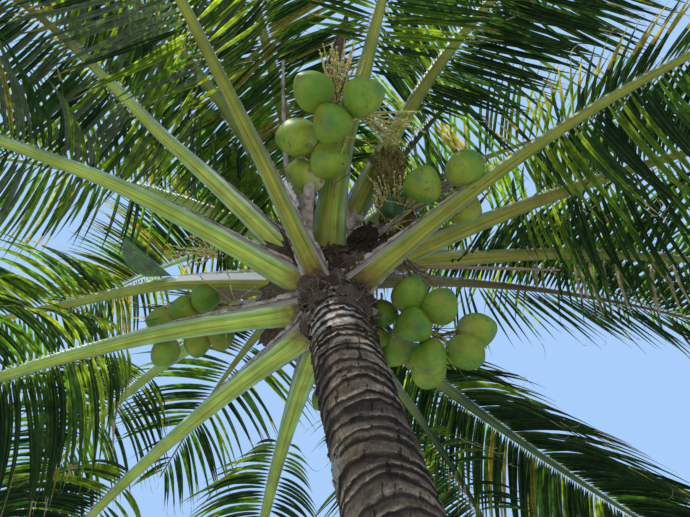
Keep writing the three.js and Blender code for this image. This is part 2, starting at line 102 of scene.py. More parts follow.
# Stretches of blade that differ: from, to, share of leaflets there, share of their usual length.
TORN = {
    (1, -1): [(0.0, 1.0, 0.60, 0.7)],
    (2, -1): [(0.0, 1.0, 0.45, 0.5)],
    (6, 1): [(0.0, 0.5, 1.0, 0.72)],
    (6, -1): [(0.0, 0.5, 0.75, 0.50)],
    (8, -1): [(0.2, 0.55, 1.0, 1.12)],
    (11, -1): [(0.0, 0.35, 0.7, 0.8)],
    (12, -1): [(0.0, 0.45, 0.8, 0.8)],
    (13, -1): [(0.0, 0.58, 0.6, 0.8), (0.58, 0.72, 0.58, 0.8)],
    (14, 1): [(0.0, 0.30, 0.8, 0.9), (0.42, 0.75, 0.7, 0.8)],
    (15, 1): [(0.30, 0.60, 0.45, 0.62)],
    (17, 1): [(0.0, 0.55, 0.8, 0.45)],
    (18, -1): [(0.28, 0.38, 0.9, 0.95)],
    (20, 1): [(0.50, 0.68, 0.6, 0.9), (0.82, 1.0, 0.5, 0.8)],
    (20, -1): [(0.0, 0.52, 0.70, 0.8), (0.52, 0.74, 0.40, 0.8), (0.74, 1.0, 0.8, 0.9)],
    (21, -1): [(0.29, 0.38, 0.28, 0.65), (0.38, 0.56, 0.50, 0.65), (0.56, 0.70, 0.72, 0.9)],
    (22, 1): [(0.20, 0.40, 0.78, 0.95), (0.40, 0.64, 0.50, 0.85)],
    (22, -1): [(0.35, 0.55, 0.65, 1.0)],
    (23, 1): [(0.36, 0.95, 0.36, 0.5)],
    (23, -1): [(0.30, 0.45, 0.5, 0.8)],
    (24, 1): [(0.45, 0.65, 0.6, 0.9)],
    (24, -1): [(0.22, 0.46, 0.70, 0.9), (0.46, 0.76, 0.48, 0.85)],
    (25, -1): [(0.50, 0.75, 0.4, 0.8)],
}
# How far apart leaflets stand, as a share of the usual.
SPACING = {
    (1, 1): 0.72, (2, 1): 0.8, (2, -1): 0.8, (3, 1): 0.9, (3, -1): 0.70, (4, -1): 0.85, (5, 1): 0.85,
    (6, 1): 0.85, (7, -1): 1.25, (8, 1): 0.56, (8, -1): 0.60, (9, 1): 0.78, (9, -1): 0.78,
    (10, 1): 0.80, (10, -1): 0.75, (11, -1): 0.8, (13, 1): 0.72, (13, -1): 0.72, (16, 1): 0.75,
    (16, -1): 0.62, (18, 1): 0.58, (18, -1): 0.75, (19, 1): 0.56, (19, -1): 0.72, (20, -1): 0.8,
    (22, -1): 0.75, (24, 1): 0.8, (25, 1): 0.58}
# Sides of a blade that lie swept forward and stiff: degrees off the rib at six places along it,
# how much they sag, and the share of its usual length that a leaflet has at those places.
SWEPT_PLACES = (0.0, 0.04, 0.08, 0.13, 0.20, 0.8)
SWEPT = {(5, -1): (118, 92, 72, 54, 34, 32), (14, 1): (76, 58, 42, 31, 22, 12)}
SWEPT_SAG = {(5, -1): 0.25, (14, 1): 0.12}
SWEPT_LENGTHS = {(5, -1): (0.34, 0.36, 0.40, 0.46, 0.60, 0.85)}
# Before that, their share of the longest leaflet's length is raised to at least this.
SWEPT_LEAST = 0.72
# Sides of a blade whose leaflets have golden ends.
GOLDEN_TIPS = ((5, -1),)
# Stretches of blade where about a third of the leaflets have withered.
WITHERED = {(17, 1): (0.27, 0.58)}
# The share of its usual width that a leaflet has, where it is narrower.
SLIM = {(5, -1): 0.85, (14, 1): 0.62}
# How many degrees further forward the first leaflets lean.
FORWARD = {(8, 1): 38, (8, -1): 40, (12, 1): 16, (18, 1): 26, (18, -1): 12}
# Sides of a blade whose dark leaflets are greyer, with a painted sheen of sky on them.
GREYER = ((4, -1), (7, 1), (7, -1), (9, 1), (9, -1), (16, 1), (16, -1), (19, -1), (21, 1))
# How wide a stalk is, as a share of the usual, at four places along the frond.
STALK_PLACES = (0.0, 0.15, 0.35, 1.0)
STALK_WIDTHS = {
    2: (0.9, 0.42, 0.5, 0.6), 4: (0.74, 0.74, 0.80, 0.86), 5: (0.95, 0.78, 0.80, 0.85),
    8: (0.9, 0.75, 0.66, 0.7), 9: (1.0, 1.0, 0.92, 0.6), 10: (1.30, 1.22, 0.72, 0.7),
    13: (1.1, 1.3, 1.45, 1.2), 14: (0.9, 0.62, 0.50, 0.5), 22: (0.8, 0.6, 0.55, 0.6)}
BEND_POWER = 1.4
RIB_STEPS = 400
FOOT_SUNK = 0.07
BLADE_START = 0.25

# How far a frond lies to side 1 of its course: places along it, and the distance at each.
ASIDE = {
    3: ((0.0, 0.20, 0.35, 0.50, 1.0), (0.0, 0.0, -0.02, -0.045, -0.045)),
    7: ((0.0, 0.27, 0.43, 1.0), (0.0, 0.0, -0.05, -0.05)),
    17: ((0.0, 0.15, 0.35, 1.0), (0.0, -0.02, -0.05, -0.05)),
    9: ((0.0, 0.28, 0.50, 1.0), (0.0, 0.0, 0.10, 0.10)),
    10: ((0.0, 0.08, 0.15, 0.25, 0.35, 1.0), (-0.025, -0.02, 0.0, 0.085, 0.12, 0.12)),
    12: ((0.0, 0.25, 0.42, 0.55, 1.0), (0.0, 0.0, -0.075, -0.095, -0.095)),
}
# Over how many stations those distances are evened out.
ASIDE_EASING = 21

# Bunches: turn, foot, where the stalk ends, width of a nut, the middles of the nuts.
BUNCHES = {
    "front": (254, 5.25, (-0.79, -1.04, 5.48), 0.208, [
        (-0.92, -1.10, 5.36), (-0.65, -1.07, 5.32), (-0.82, -0.94, 5.28),
        (-1.01, -0.84, 5.42), (-0.84, -0.72, 5.40), (-0.97, -0.62, 5.50)]),
    "right": (33, 5.18, (-0.19, 0.30, 5.25), 0.200, [
        (-0.38, 0.02, 5.24), (-0.22, 0.05, 5.16), (-0.37, 0.15, 5.11), (-0.45, 0.38, 5.28),
        (-0.28, 0.32, 5.06), (-0.07, 0.32, 5.12), (0.01, 0.24, 5.25), (-0.26, 0.50, 5.24)]),
    "front_right": (322, 5.48, (-0.20, -0.48, 5.64), 0.208, [
        (-0.31, -0.57, 5.44), (-0.07, -0.65, 5.50), (-0.06, -0.39, 5.59)]),
    "left": (157, 5.30, (-1.74, 0.31, 5.56), 0.165, [
        (-1.60, 0.14, 5.48), (-1.73, 0.22, 5.48), (-1.87, 0.30, 5.50), (-1.83, 0.43, 5.34),
        (-1.66, 0.42, 5.44), (-1.52, 0.39, 5.48)]),
    "back": (84, 5.33, (-0.79, 0.76, 5.56), 0.150, [
        (-0.88, 0.66, 5.45), (-0.72, 0.69, 5.44), (-0.80, 0.80, 5.39), (-0.89, 0.84, 5.49),
        (-0.70, 0.85, 5.48)]),
}

# How far west of its curve the middle of a bunch's stalk lies, and how stout it is there.
STALKS_ASIDE = {"front": (0.125, 1.7)}

# Nuts that have not filled out: their middles, widths, husks and the height they hang from.
YOUNG_NUTS = {
    "front_right": [
        ((-0.47, -0.387, 5.60), 0.128, 4, 5.75), ((-0.405, -0.470, 5.633), 0.052, 4, 5.75)],
    "right": [
        ((-0.524, 0.164, 5.296), 0.158, 0, 5.60), ((-0.547, 0.295, 5.248), 0.118, 0, 5.50)],
}

# Brooms of beaded flower twigs: root, heading, how many, how long, how widely they spread.
BROOMS = [
    ((-0.79, -1.02, 5.47), (0.0, -0.60, 0.30), 30, 0.36, 0.36),
    ((-0.64, -0.93, 5.59), (0.55, 0.25, 0.10), 16, 0.34, 0.32),
    ((-0.456, -0.228, 5.705), (0.0, -0.60, 0.20), 34, 0.36, 0.42),
    ((-1.53, -0.11, 5.55), (-0.60, -0.10, 0.15), 12, 0.30, 0.40),
]
# Dry strings with no beads on them, in the same terms.
DRY_BROOMS = [
    ((-0.40, -0.12, 5.40), (0.50, 0.60, -0.10), 14, 0.34, 0.35),
    ((-0.30, -0.45, 5.55), (0.60, -0.45, 0.10), 12, 0.40, 0.35),
    ((-1.00, -0.25, 5.55), (-0.30, -0.50, 0.10), 8, 0.25, 0.50),
]
# Dead stalks that still hang on: a path of places, the radius at each end, and a material.
DEAD_STALKS = [
    ([(-0.92, -0.14, 5.50), (-1.00, -0.33, 5.64), (-1.107, -0.508, 5.81), (-1.13, -0.85, 5.94),
      (-1.132, -1.20, 6.06)], 0.034, 0.009, 1),
    ([(-0.72, -0.02, 5.40), (-0.486, -0.08, 5.438), (0.00, -0.02, 5.57), (0.605, 0.049, 5.71)],
     0.030, 0.006, 2),
]

# Spathes: turn, foot, rise, droop, length.
SPATHES = {
    "front": (270, 5.56, 38, 30, 1.50),
    "left": (160, 5.55, 30, 40, 1.25),
    "right": (333, 5.60, 36, 30, 1.15),
}
# How each spathe's open side is turned about its length, how much wider it gapes, and how far its tip
# swings sideways.
SPATHE_LOOKS = {"front": (158, 1.30, 0.125), "left": (50, 1.35, 0.0), "right": (70, 1.2, 0.0)}
# How far a spathe lies off its course, east, north and up.
SPATHES_ASIDE = {"left": (0.03, -0.015, 0.005), "right": (0.0, -0.05, 0.02)}


def stem_axis(z):
    z = np.asarray(z, float)
    return np.stack([-(LEAN_AT_FOOT * z - LEAN_EASING * z * z), 0 * z, z], -1)


def rising(x, low, high):
    """0 up to low, 1 from high on, and an even rise between them."""
    return np.clip((x - low) / (high - low), 0, 1)


def stem_radius(z):
    z = np.asarray(z, float)
    bud = TRUNK_RADIUS - (TRUNK_RADIUS - BUD_RADIUS) * rising(z, CROWN_BASE, TRUNK_TOP) ** BUD_CURVE
    return np.where(z <= CROWN_BASE, TRUNK_RADIUS + FLARE * np.exp(-z / FLARE_HEIGHT), bud)


def outward(turn):
    """Level directions at these turns, in radians."""
    return np.stack([np.cos(turn), np.sin(turn), 0 * turn], -1)


def by_stem(z, turn, out):
    """Places at these heights and turns, so far out from the middle of the stem."""
    return stem_axis(z) + np.asarray(out)[..., None] * outward(turn)


def unit(v):
    return v / np.maximum(np.linalg.norm(v, axis=-1, keepdims=True), 1e-12)


def turned(v, axis, angle):
    """v turned about axis, which is at right angles to it."""
    angle = np.asarray(angle)[..., None]
    return v * np.cos(angle) + np.cross(axis, v) * np.sin(angle)


class Line:
    """A line that leaves the stem and bends on its way out: place, along, side and up at each station."""

    def __init__(self, turn, foot, rise, droop, sway, roll, length):
        t = np.linspace(0, 1, RIB_STEPS + 1)
        bent = t ** BEND_POWER
        pitch = np.radians(rise - droop * bent)
        course = np.radians(turn + sway * bent)
        self.along = np.stack(
            [np.cos(pitch) * np.cos(course), np.cos(pitch) * np.sin(course), np.sin(pitch)], -1)
        side = np.stack([-np.sin(course), np.cos(course), 0 * t], -1)
        self.side = turned(side, self.along, np.radians(roll * bent))
        self.up = np.cross(self.along, self.side)
        start = by_stem(foot, math.radians(turn), stem_radius(foot)) - self.along[0] * FOOT_SUNK
        steps = self.along[:-1] * (length + FOOT_SUNK) / RIB_STEPS
        self.place = start + np.vstack([np.zeros(3), np.cumsum(steps, 0)])
        self.rise = rise
        self.length = length
        self.turn = turn
        self.foot = foot

    def move_aside(self, places, distances):
        shift = np.interp(np.linspace(0, 1, RIB_STEPS + 1), places, distances)
        padded = np.pad(shift, ASIDE_EASING // 2, "edge")
        eased = np.convolve(padded, np.full(ASIDE_EASING, 1 / ASIDE_EASING), "valid")
        self.place = self.place + self.side * eased[:, None]

    def at(self, t, name):
        values = getattr(self, name)
        x = np.clip(np.asarray(t, float), 0, 1) * RIB_STEPS
        low = np.minimum(x.astype(int), RIB_STEPS - 1)
        part = (x - low)[..., None]
        return values[low] * (1 - part) + values[low + 1] * part

    def beside(self, t, aside, above):
        """Places so far to the side of the line and above it."""
        return (self.at(t, "place") + self.at(t, "side") * aside[..., None]
                + self.at(t, "up") * above[..., None])


def rib_width(t, number):
    shares = STALK_WIDTHS.get(number + 1, (1, 1, 1, 1))
    usual = 0.012 + 0.14 * (1 - t) ** 1.7 + 0.06 * np.exp(-t / 0.035)
    return usual * np.interp(t, STALK_PLACES, shares)


def rib_depth(t):
    return 0.009 + 0.063 * (1 - t) ** 1.7


class Skins:
    """Grids of quads, gathered and then joined into one mesh."""

    def __init__(self):
        self.points, self.faces, self.index, self.uv = [], [], [], []
        self.count = 0

    def add(self, points, index=0, uv=None, closed=False):
        """points: n grids of rows by columns. index: a material for each face, or one for all.
        uv: a place for each point, with one more column where the grid is closed."""
        points = np.asarray(points, float)
        if points.ndim == 3:
            points = points[None]
            uv = None if uv is None else np.asarray(uv)[None]
        n, rows, cols = points.shape[:3]
        wide = cols if closed else cols - 1
        number = np.arange(n * rows * cols).reshape(n, rows, cols) + self.count
        right = np.roll(number, -1, 2) if closed else number[:, :, 1:]
        left = number if closed else number[:, :, :-1]
        quads = np.stack([left[:, :-1], right[:, :-1], right[:, 1:], left[:, 1:]], -1)
        self.points.append(points.reshape(-1, 3))
        self.faces.append(quads.reshape(-1, 4))
        self.index.append(np.broadcast_to(index, (n, rows - 1, wide)).ravel())
        if uv is None:
            u, v = np.meshgrid(np.linspace(0, 1, wide + 1), np.linspace(0, 1, rows))
            uv = np.broadcast_to(np.stack([u, v], -1), (n, rows, wide + 1, 2))
        corners = np.stack([uv[:, :-1, :-1], uv[:, :-1, 1:], uv[:, 1:, 1:], uv[:, 1:, :-1]], -2)
        self.uv.append(np.asarray(corners, float).reshape(-1, 4, 2))
        self.count += n * rows * cols

    def made(self, name, materials):
        """One mesh of all the grids, with a UV map of one place for each corner."""
        points, faces = np.vstack(self.points), np.vstack(self.faces)
        mesh = bpy.data.meshes.new(name)
        mesh.vertices.add(len(points))
        mesh.vertices.foreach_set("co", points.astype(np.float32).ravel())
        mesh.loops.add(faces.size)
        mesh.loops.foreach_set("vertex_index", faces.astype(np.int32).ravel())
        mesh.polygons.add(len(faces))
        mesh.polygons.foreach_set("loop_start", np.arange(0, faces.size, 4, dtype=np.int32))
        mesh.polygons.foreach_set("material_index", np.concatenate(self.index).astype(np.int32))
        mesh.polygons.foreach_set("use_smooth", np.full(len(faces), True))
        layer = mesh.uv_layers.new(name="Surface")
        layer.uv.foreach_set("vector", np.vstack(self.uv).astype(np.float32).ravel())
        for material in materials:
            mesh.materials.append(material)
        mesh.update()
        mesh.validate()
        piece = bpy.data.objects.new(name, mesh)
        bpy.context.scene.collection.objects.link(piece)
        return piece


def keep(piece, slot, *nodes):
    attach(piece, "root")
    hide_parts(*nodes)


def frond_nodes(number):
    name = f"frond_{number + 1:02d}"
    if FRONDS[number][3] > SPLIT_DROOP:
        return [name + "_lower", name + "_upper"]
    return [name]


# Materials


class Shader:
    """A material's node tree, with short ways to add to it."""

    def __init__(self, name, roughness=0.6, specular=0.5):
        self.material = bpy.data.materials.new(name)
        self.material.use_nodes = True
        self.nodes = self.material.node_tree.nodes
        self.links = self.material.node_tree.links
        self.shader = self.nodes["Principled BSDF"]
        self.shader.inputs["Roughness"].default_value = roughness
        self.shader.inputs["Specular IOR Level"].default_value = specular
        self.coords = self.node("ShaderNodeTexCoord").outputs["Object"]
        self.own_map = None

    def node(self, kind, **values):
        made = self.nodes.new(kind)
        for key, value in values.items():
            setattr(made, key, value)
        return made

    def join(self, value, socket):
        if isinstance(value, bpy.types.NodeSocket):
            self.links.new(value, socket)
        elif isinstance(value, tuple) and len(value) == 3 and socket.type == "RGBA":
            socket.default_value = (*value, 1)
        else:
            socket.default_value = value

    def lie(self):
        """Each point's place on the mesh's own map."""
        if self.own_map is None:
            self.own_map = self.node("ShaderNodeUVMap", uv_map="Surface").outputs[0]
        return self.own_map

    def surface(self):
        """Across and along, from the mesh's own map."""
        parts = self.node("ShaderNodeSeparateXYZ")
        self.links.new(self.lie(), parts.inputs[0])
        return parts.outputs[0], parts.outputs[1]

    def noise(self, scale, detail=3, stretch=None, coords=None, roughness=0.55, distortion=0):
        source = self.coords if coords is None else coords
        if stretch is not None:
            mapping = self.node("ShaderNodeMapping")
            mapping.inputs["Scale"].default_value = stretch
            self.links.new(source, mapping.inputs["Vector"])
            source = mapping.outputs[0]
        noise = self.node("ShaderNodeTexNoise")
        self.links.new(source, noise.inputs["Vector"])
        noise.inputs["Scale"].default_value = scale
        noise.inputs["Detail"].default_value = detail
        noise.inputs["Roughness"].default_value = roughness
        noise.inputs["Distortion"].default_value = distortion
        return noise.outputs["Fac"]

    def grain(self, across, along, detail, roughness=0.55, distortion=0):
        """Noise over the mesh's own map, with so many cells across and along."""
        return self.noise(1.0, detail, (across, along, 1), self.lie(), roughness, distortion)

    def ramp(self, value, stops):
        ramp = self.node("ShaderNodeValToRGB")
        band = ramp.color_ramp
        while len(band.elements) < len(stops):
            band.elements.new(0.5)
        for element, (place, colour) in zip(band.elements, stops):
            element.position = place
            element.color = (*colour, 1) if isinstance(colour, tuple) else (colour, colour, colour, 1)
        self.links.new(value, ramp.inputs[0])
        return ramp.outputs[0]

    def patches(self, scale, detail, stops, **more):
        return self.ramp(self.noise(scale, detail, **more), stops)

    def mix(self, low, high, share, mode="MIX"):
        mix = self.node("ShaderNodeMix", data_type="RGBA", blend_type=mode)
        self.join(share, mix.inputs[0])
        self.join(low, mix.inputs[6])
        self.join(high, mix.inputs[7])
        return mix.outputs[2]

    def tinted(self, colour, tint, share=1.0):
        return self.mix(colour, tint, share, "MULTIPLY")

    def math(self, operation, a, b=0.0):
        made = self.node("ShaderNodeMath", operation=operation)
        self.join(a, made.inputs[0])
        self.join(b, made.inputs[1])
        return made.outputs[0]

    def times(self, *values):
        product = values[0]
        for value in values[1:]:
            product = self.math("MULTIPLY", product, value)
        return product

    def swing(self, value, size):
        """A value from 0 to 1 made one that goes so far to either side of nothing."""
        return self.times(self.math("SUBTRACT", value, 0.5), size)

    def distance(self, place):
        """How far a point is from a place."""
        made = self.node("ShaderNodeVectorMath", operation="DISTANCE")
        self.links.new(self.coords, made.inputs[0])
        made.inputs[1].default_value = place
        return made.outputs["Value"]

    def bump(self, height, distance, strength=1.0):
        bump = self.node("ShaderNodeBump")
        bump.inputs["Strength"].default_value = strength
        bump.inputs["Distance"].default_value = distance
        self.links.new(height, bump.inputs["Height"])
        self.links.new(bump.outputs[0], self.shader.inputs["Normal"])

    def colour(self, value):
        self.join(value, self.shader.inputs["Base Color"])
        return self.material

    def let_through(self, colour, share):
        """Lets light through, as a thin leaf does."""
        through = self.node("ShaderNodeBsdfTranslucent")
        self.join(colour, through.inputs["Color"])
        mix = self.node("ShaderNodeMixShader")
        mix.inputs[0].default_value = share
        self.links.new(self.shader.outputs[0], mix.inputs[1])
        self.links.new(through.outputs[0], mix.inputs[2])
        self.links.new(mix.outputs[0], self.nodes["Material Output"].inputs[0])


def leaf_material(name, colour, glow, roughness=0.52, share=0.36):
    shader = Shader(name, roughness, 0.07)
    patches = shader.patches(5, 3, [(0.3, 0.72), (0.7, 1.25)])
    streaks = shader.patches(40, 2, [(0.3, 0.85), (0.7, 1.12)])
    both = shader.tinted(patches, streaks)
    shader.colour(shader.tinted(both, colour))
    # Patches in the light let through: painted sun flecks and shade.
    painted_dapple = shader.patches(17, 3, [(0.36, 0.35), (0.62, 1.45)], roughness=0.6)
    shader.let_through(shader.tinted(shader.tinted(both, painted_dapple), glow), share)
    return shader.material


# Colour and light let through, per kind: deep to yellow are shaded to sunlit copies, partly painted shade
# and sunlight.
LEAF_KINDS = {
    "leaf_deep": ((0.013, 0.034, 0.013), (0.015, 0.041, 0.006)),
    "leaf_green": ((0.024, 0.057, 0.017), (0.046, 0.118, 0.012)),
    "leaf_bright": ((0.034, 0.084, 0.013), (0.19, 0.41, 0.016)),
    "leaf_yellow": ((0.070, 0.125, 0.015), (0.43, 0.60, 0.028)),
    "leaf_gold": ((0.210, 0.180, 0.035), (0.55, 0.45, 0.06)),
    "leaf_straw": ((0.360, 0.300, 0.190), (0.42, 0.34, 0.18)),
    "leaf_vein": ((0.040, 0.072, 0.022), (0.10, 0.15, 0.02)),
    "leaf_foot": ((0.330, 0.350, 0.220), (0.55, 0.58, 0.38)),
    # A painted sheen of sky on shaded leaflets.
    "leaf_grey": ((0.110, 0.145, 0.090), (0.060, 0.105, 0.032)),
}
LEAF_NAMES = list(LEAF_KINDS)
DEEP, GREEN, BRIGHT, YELLOW, GOLD, STRAW, VEIN, FOOT, GREY = range(len(LEAF_NAMES))
leaf_materials = [leaf_material(name, *LEAF_KINDS[name]) for name in LEAF_NAMES]


def scaled(colour, tint):
    return tuple(tint * part for part in colour)


def shaded(stops, tint):
    """The stops of a ramp, each colour times a tint."""
    return [(place, scaled(colour, tint)) for place, colour in stops]


# Colours across a rib, from the middle of its underside to the middle of its top; the dark top side is
# painted shade.
RIB_GREENS = [
    (0.0, (0.31, 0.30, 0.040)), (0.035, (0.33, 0.355, 0.045)), (0.09, (0.30, 0.365, 0.045)),
    (0.17, (0.27, 0.340, 0.110)), (0.24, (0.36, 0.400, 0.200)), (0.29, (0.49, 0.510, 0.340)),
    (0.32, (0.28, 0.340, 0.150)), (0.37, (0.11, 0.160, 0.040)), (0.5, (0.075, 0.120, 0.022))]
RIB_STAINS = [
    (0.0, (0.030, 0.020, 0.012)), (0.016, (0.075, 0.045, 0.020)), (0.028, (0.20, 0.13, 0.025)),
    (0.060, (0.23, 0.27, 0.030))]
RIB_PAPER = [
    (0.32, (0.085, 0.060, 0.042)), (0.46, (0.22, 0.19, 0.15)), (0.60, (0.34, 0.32, 0.27)),
    (0.72, (0.42, 0.40, 0.36))]


def rib_green(shader, across, fine):
    """Yellow-green in bands from the middle of the underside out, broken up along the rib, and darker on
    top as painted shade.
    """
    shift = shader.swing(shader.noise(1.6, 2), 0.16)
    off_middle = shader.math("ADD", shader.math("SUBTRACT", across, 0.5), shift)
    green = shader.ramp(shader.math("ABSOLUTE", off_middle), RIB_GREENS)
    broad = shader.ramp(shader.grain(26, 3, 4, 0.65), [
        (0.36, (0.50, 0.48, 0.40)), (0.5, (1.0, 1.0, 1.0)), (0.66, (1.22, 1.18, 1.3))])
    green = shader.tinted(green, shader.tinted(broad, fine))
    return shader.mix(green, (0.175, 0.145, 0.030), shader.ramp(
        shader.grain(14, 5, 3, 0.6), [(0.55, 0.0), (0.68, 0.65)]))


def rib_material(name, inner_tint, outer_tint, tip_tint=None, painted_sunlight=False, paper_from=0.135):
    """Yellow-green in streaks, with an olive middle, specks, papery grey margins, a brown foot and tints
    of painted light.
    """
    shader = Shader(name, 0.5, 0.22)
    across, along = shader.surface()
    fine = shader.ramp(shader.grain(110, 16, 5, 0.75), [(0.34, 0.70), (0.62, 1.18)])
    green = rib_green(shader, across, fine)
    foot = shader.math("ADD", along, shader.swing(shader.noise(22, 4), 0.045))
    stain = shader.ramp(foot, RIB_STAINS)
    body = shader.mix(green, stain, shader.ramp(foot, [(0.022, 1.0), (0.064, 0.0)]))
    body = shader.tinted(body, shader.patches(5, 4, [(0.35, 0.74), (0.65, 1.12)]))
    # Painted light and shade along the stalk: tints brighten it where it lies in sun and darken it where
    # it lies in shade.
    tints = [(0.13, inner_tint), (0.26, outer_tint), (0.38, outer_tint), (0.46, tip_tint or outer_tint)]
    body = shader.tinted(body, shader.ramp(along, tints))
    inner = shader.math("ABSOLUTE", shader.math("SUBTRACT", across, 0.5))
    inner = shader.math("ADD", inner, shader.times(along, -0.60))
    inner = shader.math("ADD", inner, shader.swing(shader.grain(12, 40, 4), 0.10))
    margin = shader.times(shader.ramp(inner, [(paper_from, 0.0), (paper_from + 0.025, 0.92)]),
                          shader.ramp(along, [(0.16, 1.0), (0.26, 0.0)]))
    body = shader.mix(body, shader.ramp(shader.grain(60, 22, 5, 0.7), RIB_PAPER), margin)
    speck = shader.times(shader.patches(30, 6, [(0.615, 0.0), (0.65, 0.9)], roughness=0.85),
                         shader.patches(3, 2, [(0.42, 0.10), (0.58, 1.0)]))
    body = shader.mix(body, (0.040, 0.026, 0.013), speck)
    scratch = shader.ramp(shader.grain(50, 60, 5, 0.85), [(0.645, 0.0), (0.68, 0.8)])
    body = shader.mix(body, (0.055, 0.035, 0.018), scratch)
    # A cream band along one upper edge of the stalk near its foot: painted sunlight.
    if painted_sunlight:
        band = shader.times(shader.ramp(across, [(0.385, 1.0), (0.415, 0.0)]), shader.ramp(
            foot, [(0.040, 0.0), (0.055, 1.0), (0.235, 1.0), (0.250, 0.0)]))
        body = shader.mix(body, shader.tinted((0.95, 0.94, 0.84), fine, 0.25), band)
    shader.bump(shader.grain(70, 12, 4), 0.003, 0.5)
    return shader.colour(body)


def papery_material(name="papery_edge", tint=1.0):
    """The thin grey-mauve wing along the edges of a leaf stalk, brown where it has dried."""
    shader = Shader(name, 0.75)
    shader.bump(shader.noise(90, 3), 0.0015, 0.6)
    return shader.colour(shader.patches(14, 5, shaded([
        (0.3, (0.060, 0.040, 0.028)), (0.42, (0.19, 0.150, 0.118)), (0.55, (0.37, 0.330, 0.285)),
        (0.7, (0.30, 0.26, 0.21))], tint), roughness=0.65))


def fibre_material(name="fibre", tint=1.0):
    """Matted brown fibre in two crossing layers, greyer in places, with dark gaps."""
    shader = Shader(name, 0.95, 0.2)
    weave = shader.times(shader.grain(46, 3.5, 5, 0.75), shader.grain(5, 30, 5, 0.75))
    base = shader.ramp(weave, shaded([
        (0.15, (0.010, 0.007, 0.005)), (0.21, (0.045, 0.030, 0.018)), (0.28, (0.130, 0.094, 0.060)),
        (0.40, (0.31, 0.26, 0.20))], tint))
    grey = shader.patches(6, 4, [(0.5, 0.0), (0.66, 0.5)])
    base = shader.mix(base, scaled((0.20, 0.17, 0.14), tint), grey)
    rust = shader.patches(9, 3, [(0.55, 0.0), (0.68, 0.6)])
    base = shader.mix(base, scaled((0.115, 0.060, 0.024), tint), rust)
    shader.bump(weave, 0.02)
    return shader.colour(base)


def net_material():
    """Woven golden-brown threads with dark gaps between them."""
    shader = Shader("golden_net", 0.9, 0.2)
    threads = shader.times(shader.grain(26, 9, 5, 0.8, 1.0), shader.grain(12, 60, 5, 0.8))
    shader.bump(threads, 0.01)
    return shader.colour(shader.ramp(threads, [
        (0.17, (0.012, 0.009, 0.004)), (0.23, (0.075, 0.058, 0.016)), (0.30, (0.20, 0.165, 0.045)),
        (0.40, (0.46, 0.40, 0.15))]))


# Where lichen grows on the trunk, and where painted sunlight falls on the ring edges near its top.
LICHEN_PLACE = (-0.795, 0.005, 3.60)
SUNLIT_PLACE = (-0.790, -0.160, 4.640)
# Colours over one ring scar, from its furrow up to the next: where it is fresh and where it is worn.
# The near-black in the furrow under each rim is partly the groove's own dark and partly painted shade.
RING_COLOURS = [
    (0.0, (0.013, 0.009, 0.006)), (0.07, (0.066, 0.048, 0.032)), (0.11, (0.47, 0.375, 0.275)),
    (0.27, (0.37, 0.290, 0.205)), (0.37, (0.155, 0.118, 0.076)), (0.62, (0.105, 0.078, 0.050)),
    (0.84, (0.034, 0.025, 0.016)), (1.0, (0.013, 0.009, 0.006))]
WORN_COLOURS = [
    (0.0, (0.022, 0.016, 0.010)), (0.3, (0.150, 0.114, 0.075)), (0.8, (0.088, 0.065, 0.042)),
    (1.0, (0.018, 0.013, 0.008))]


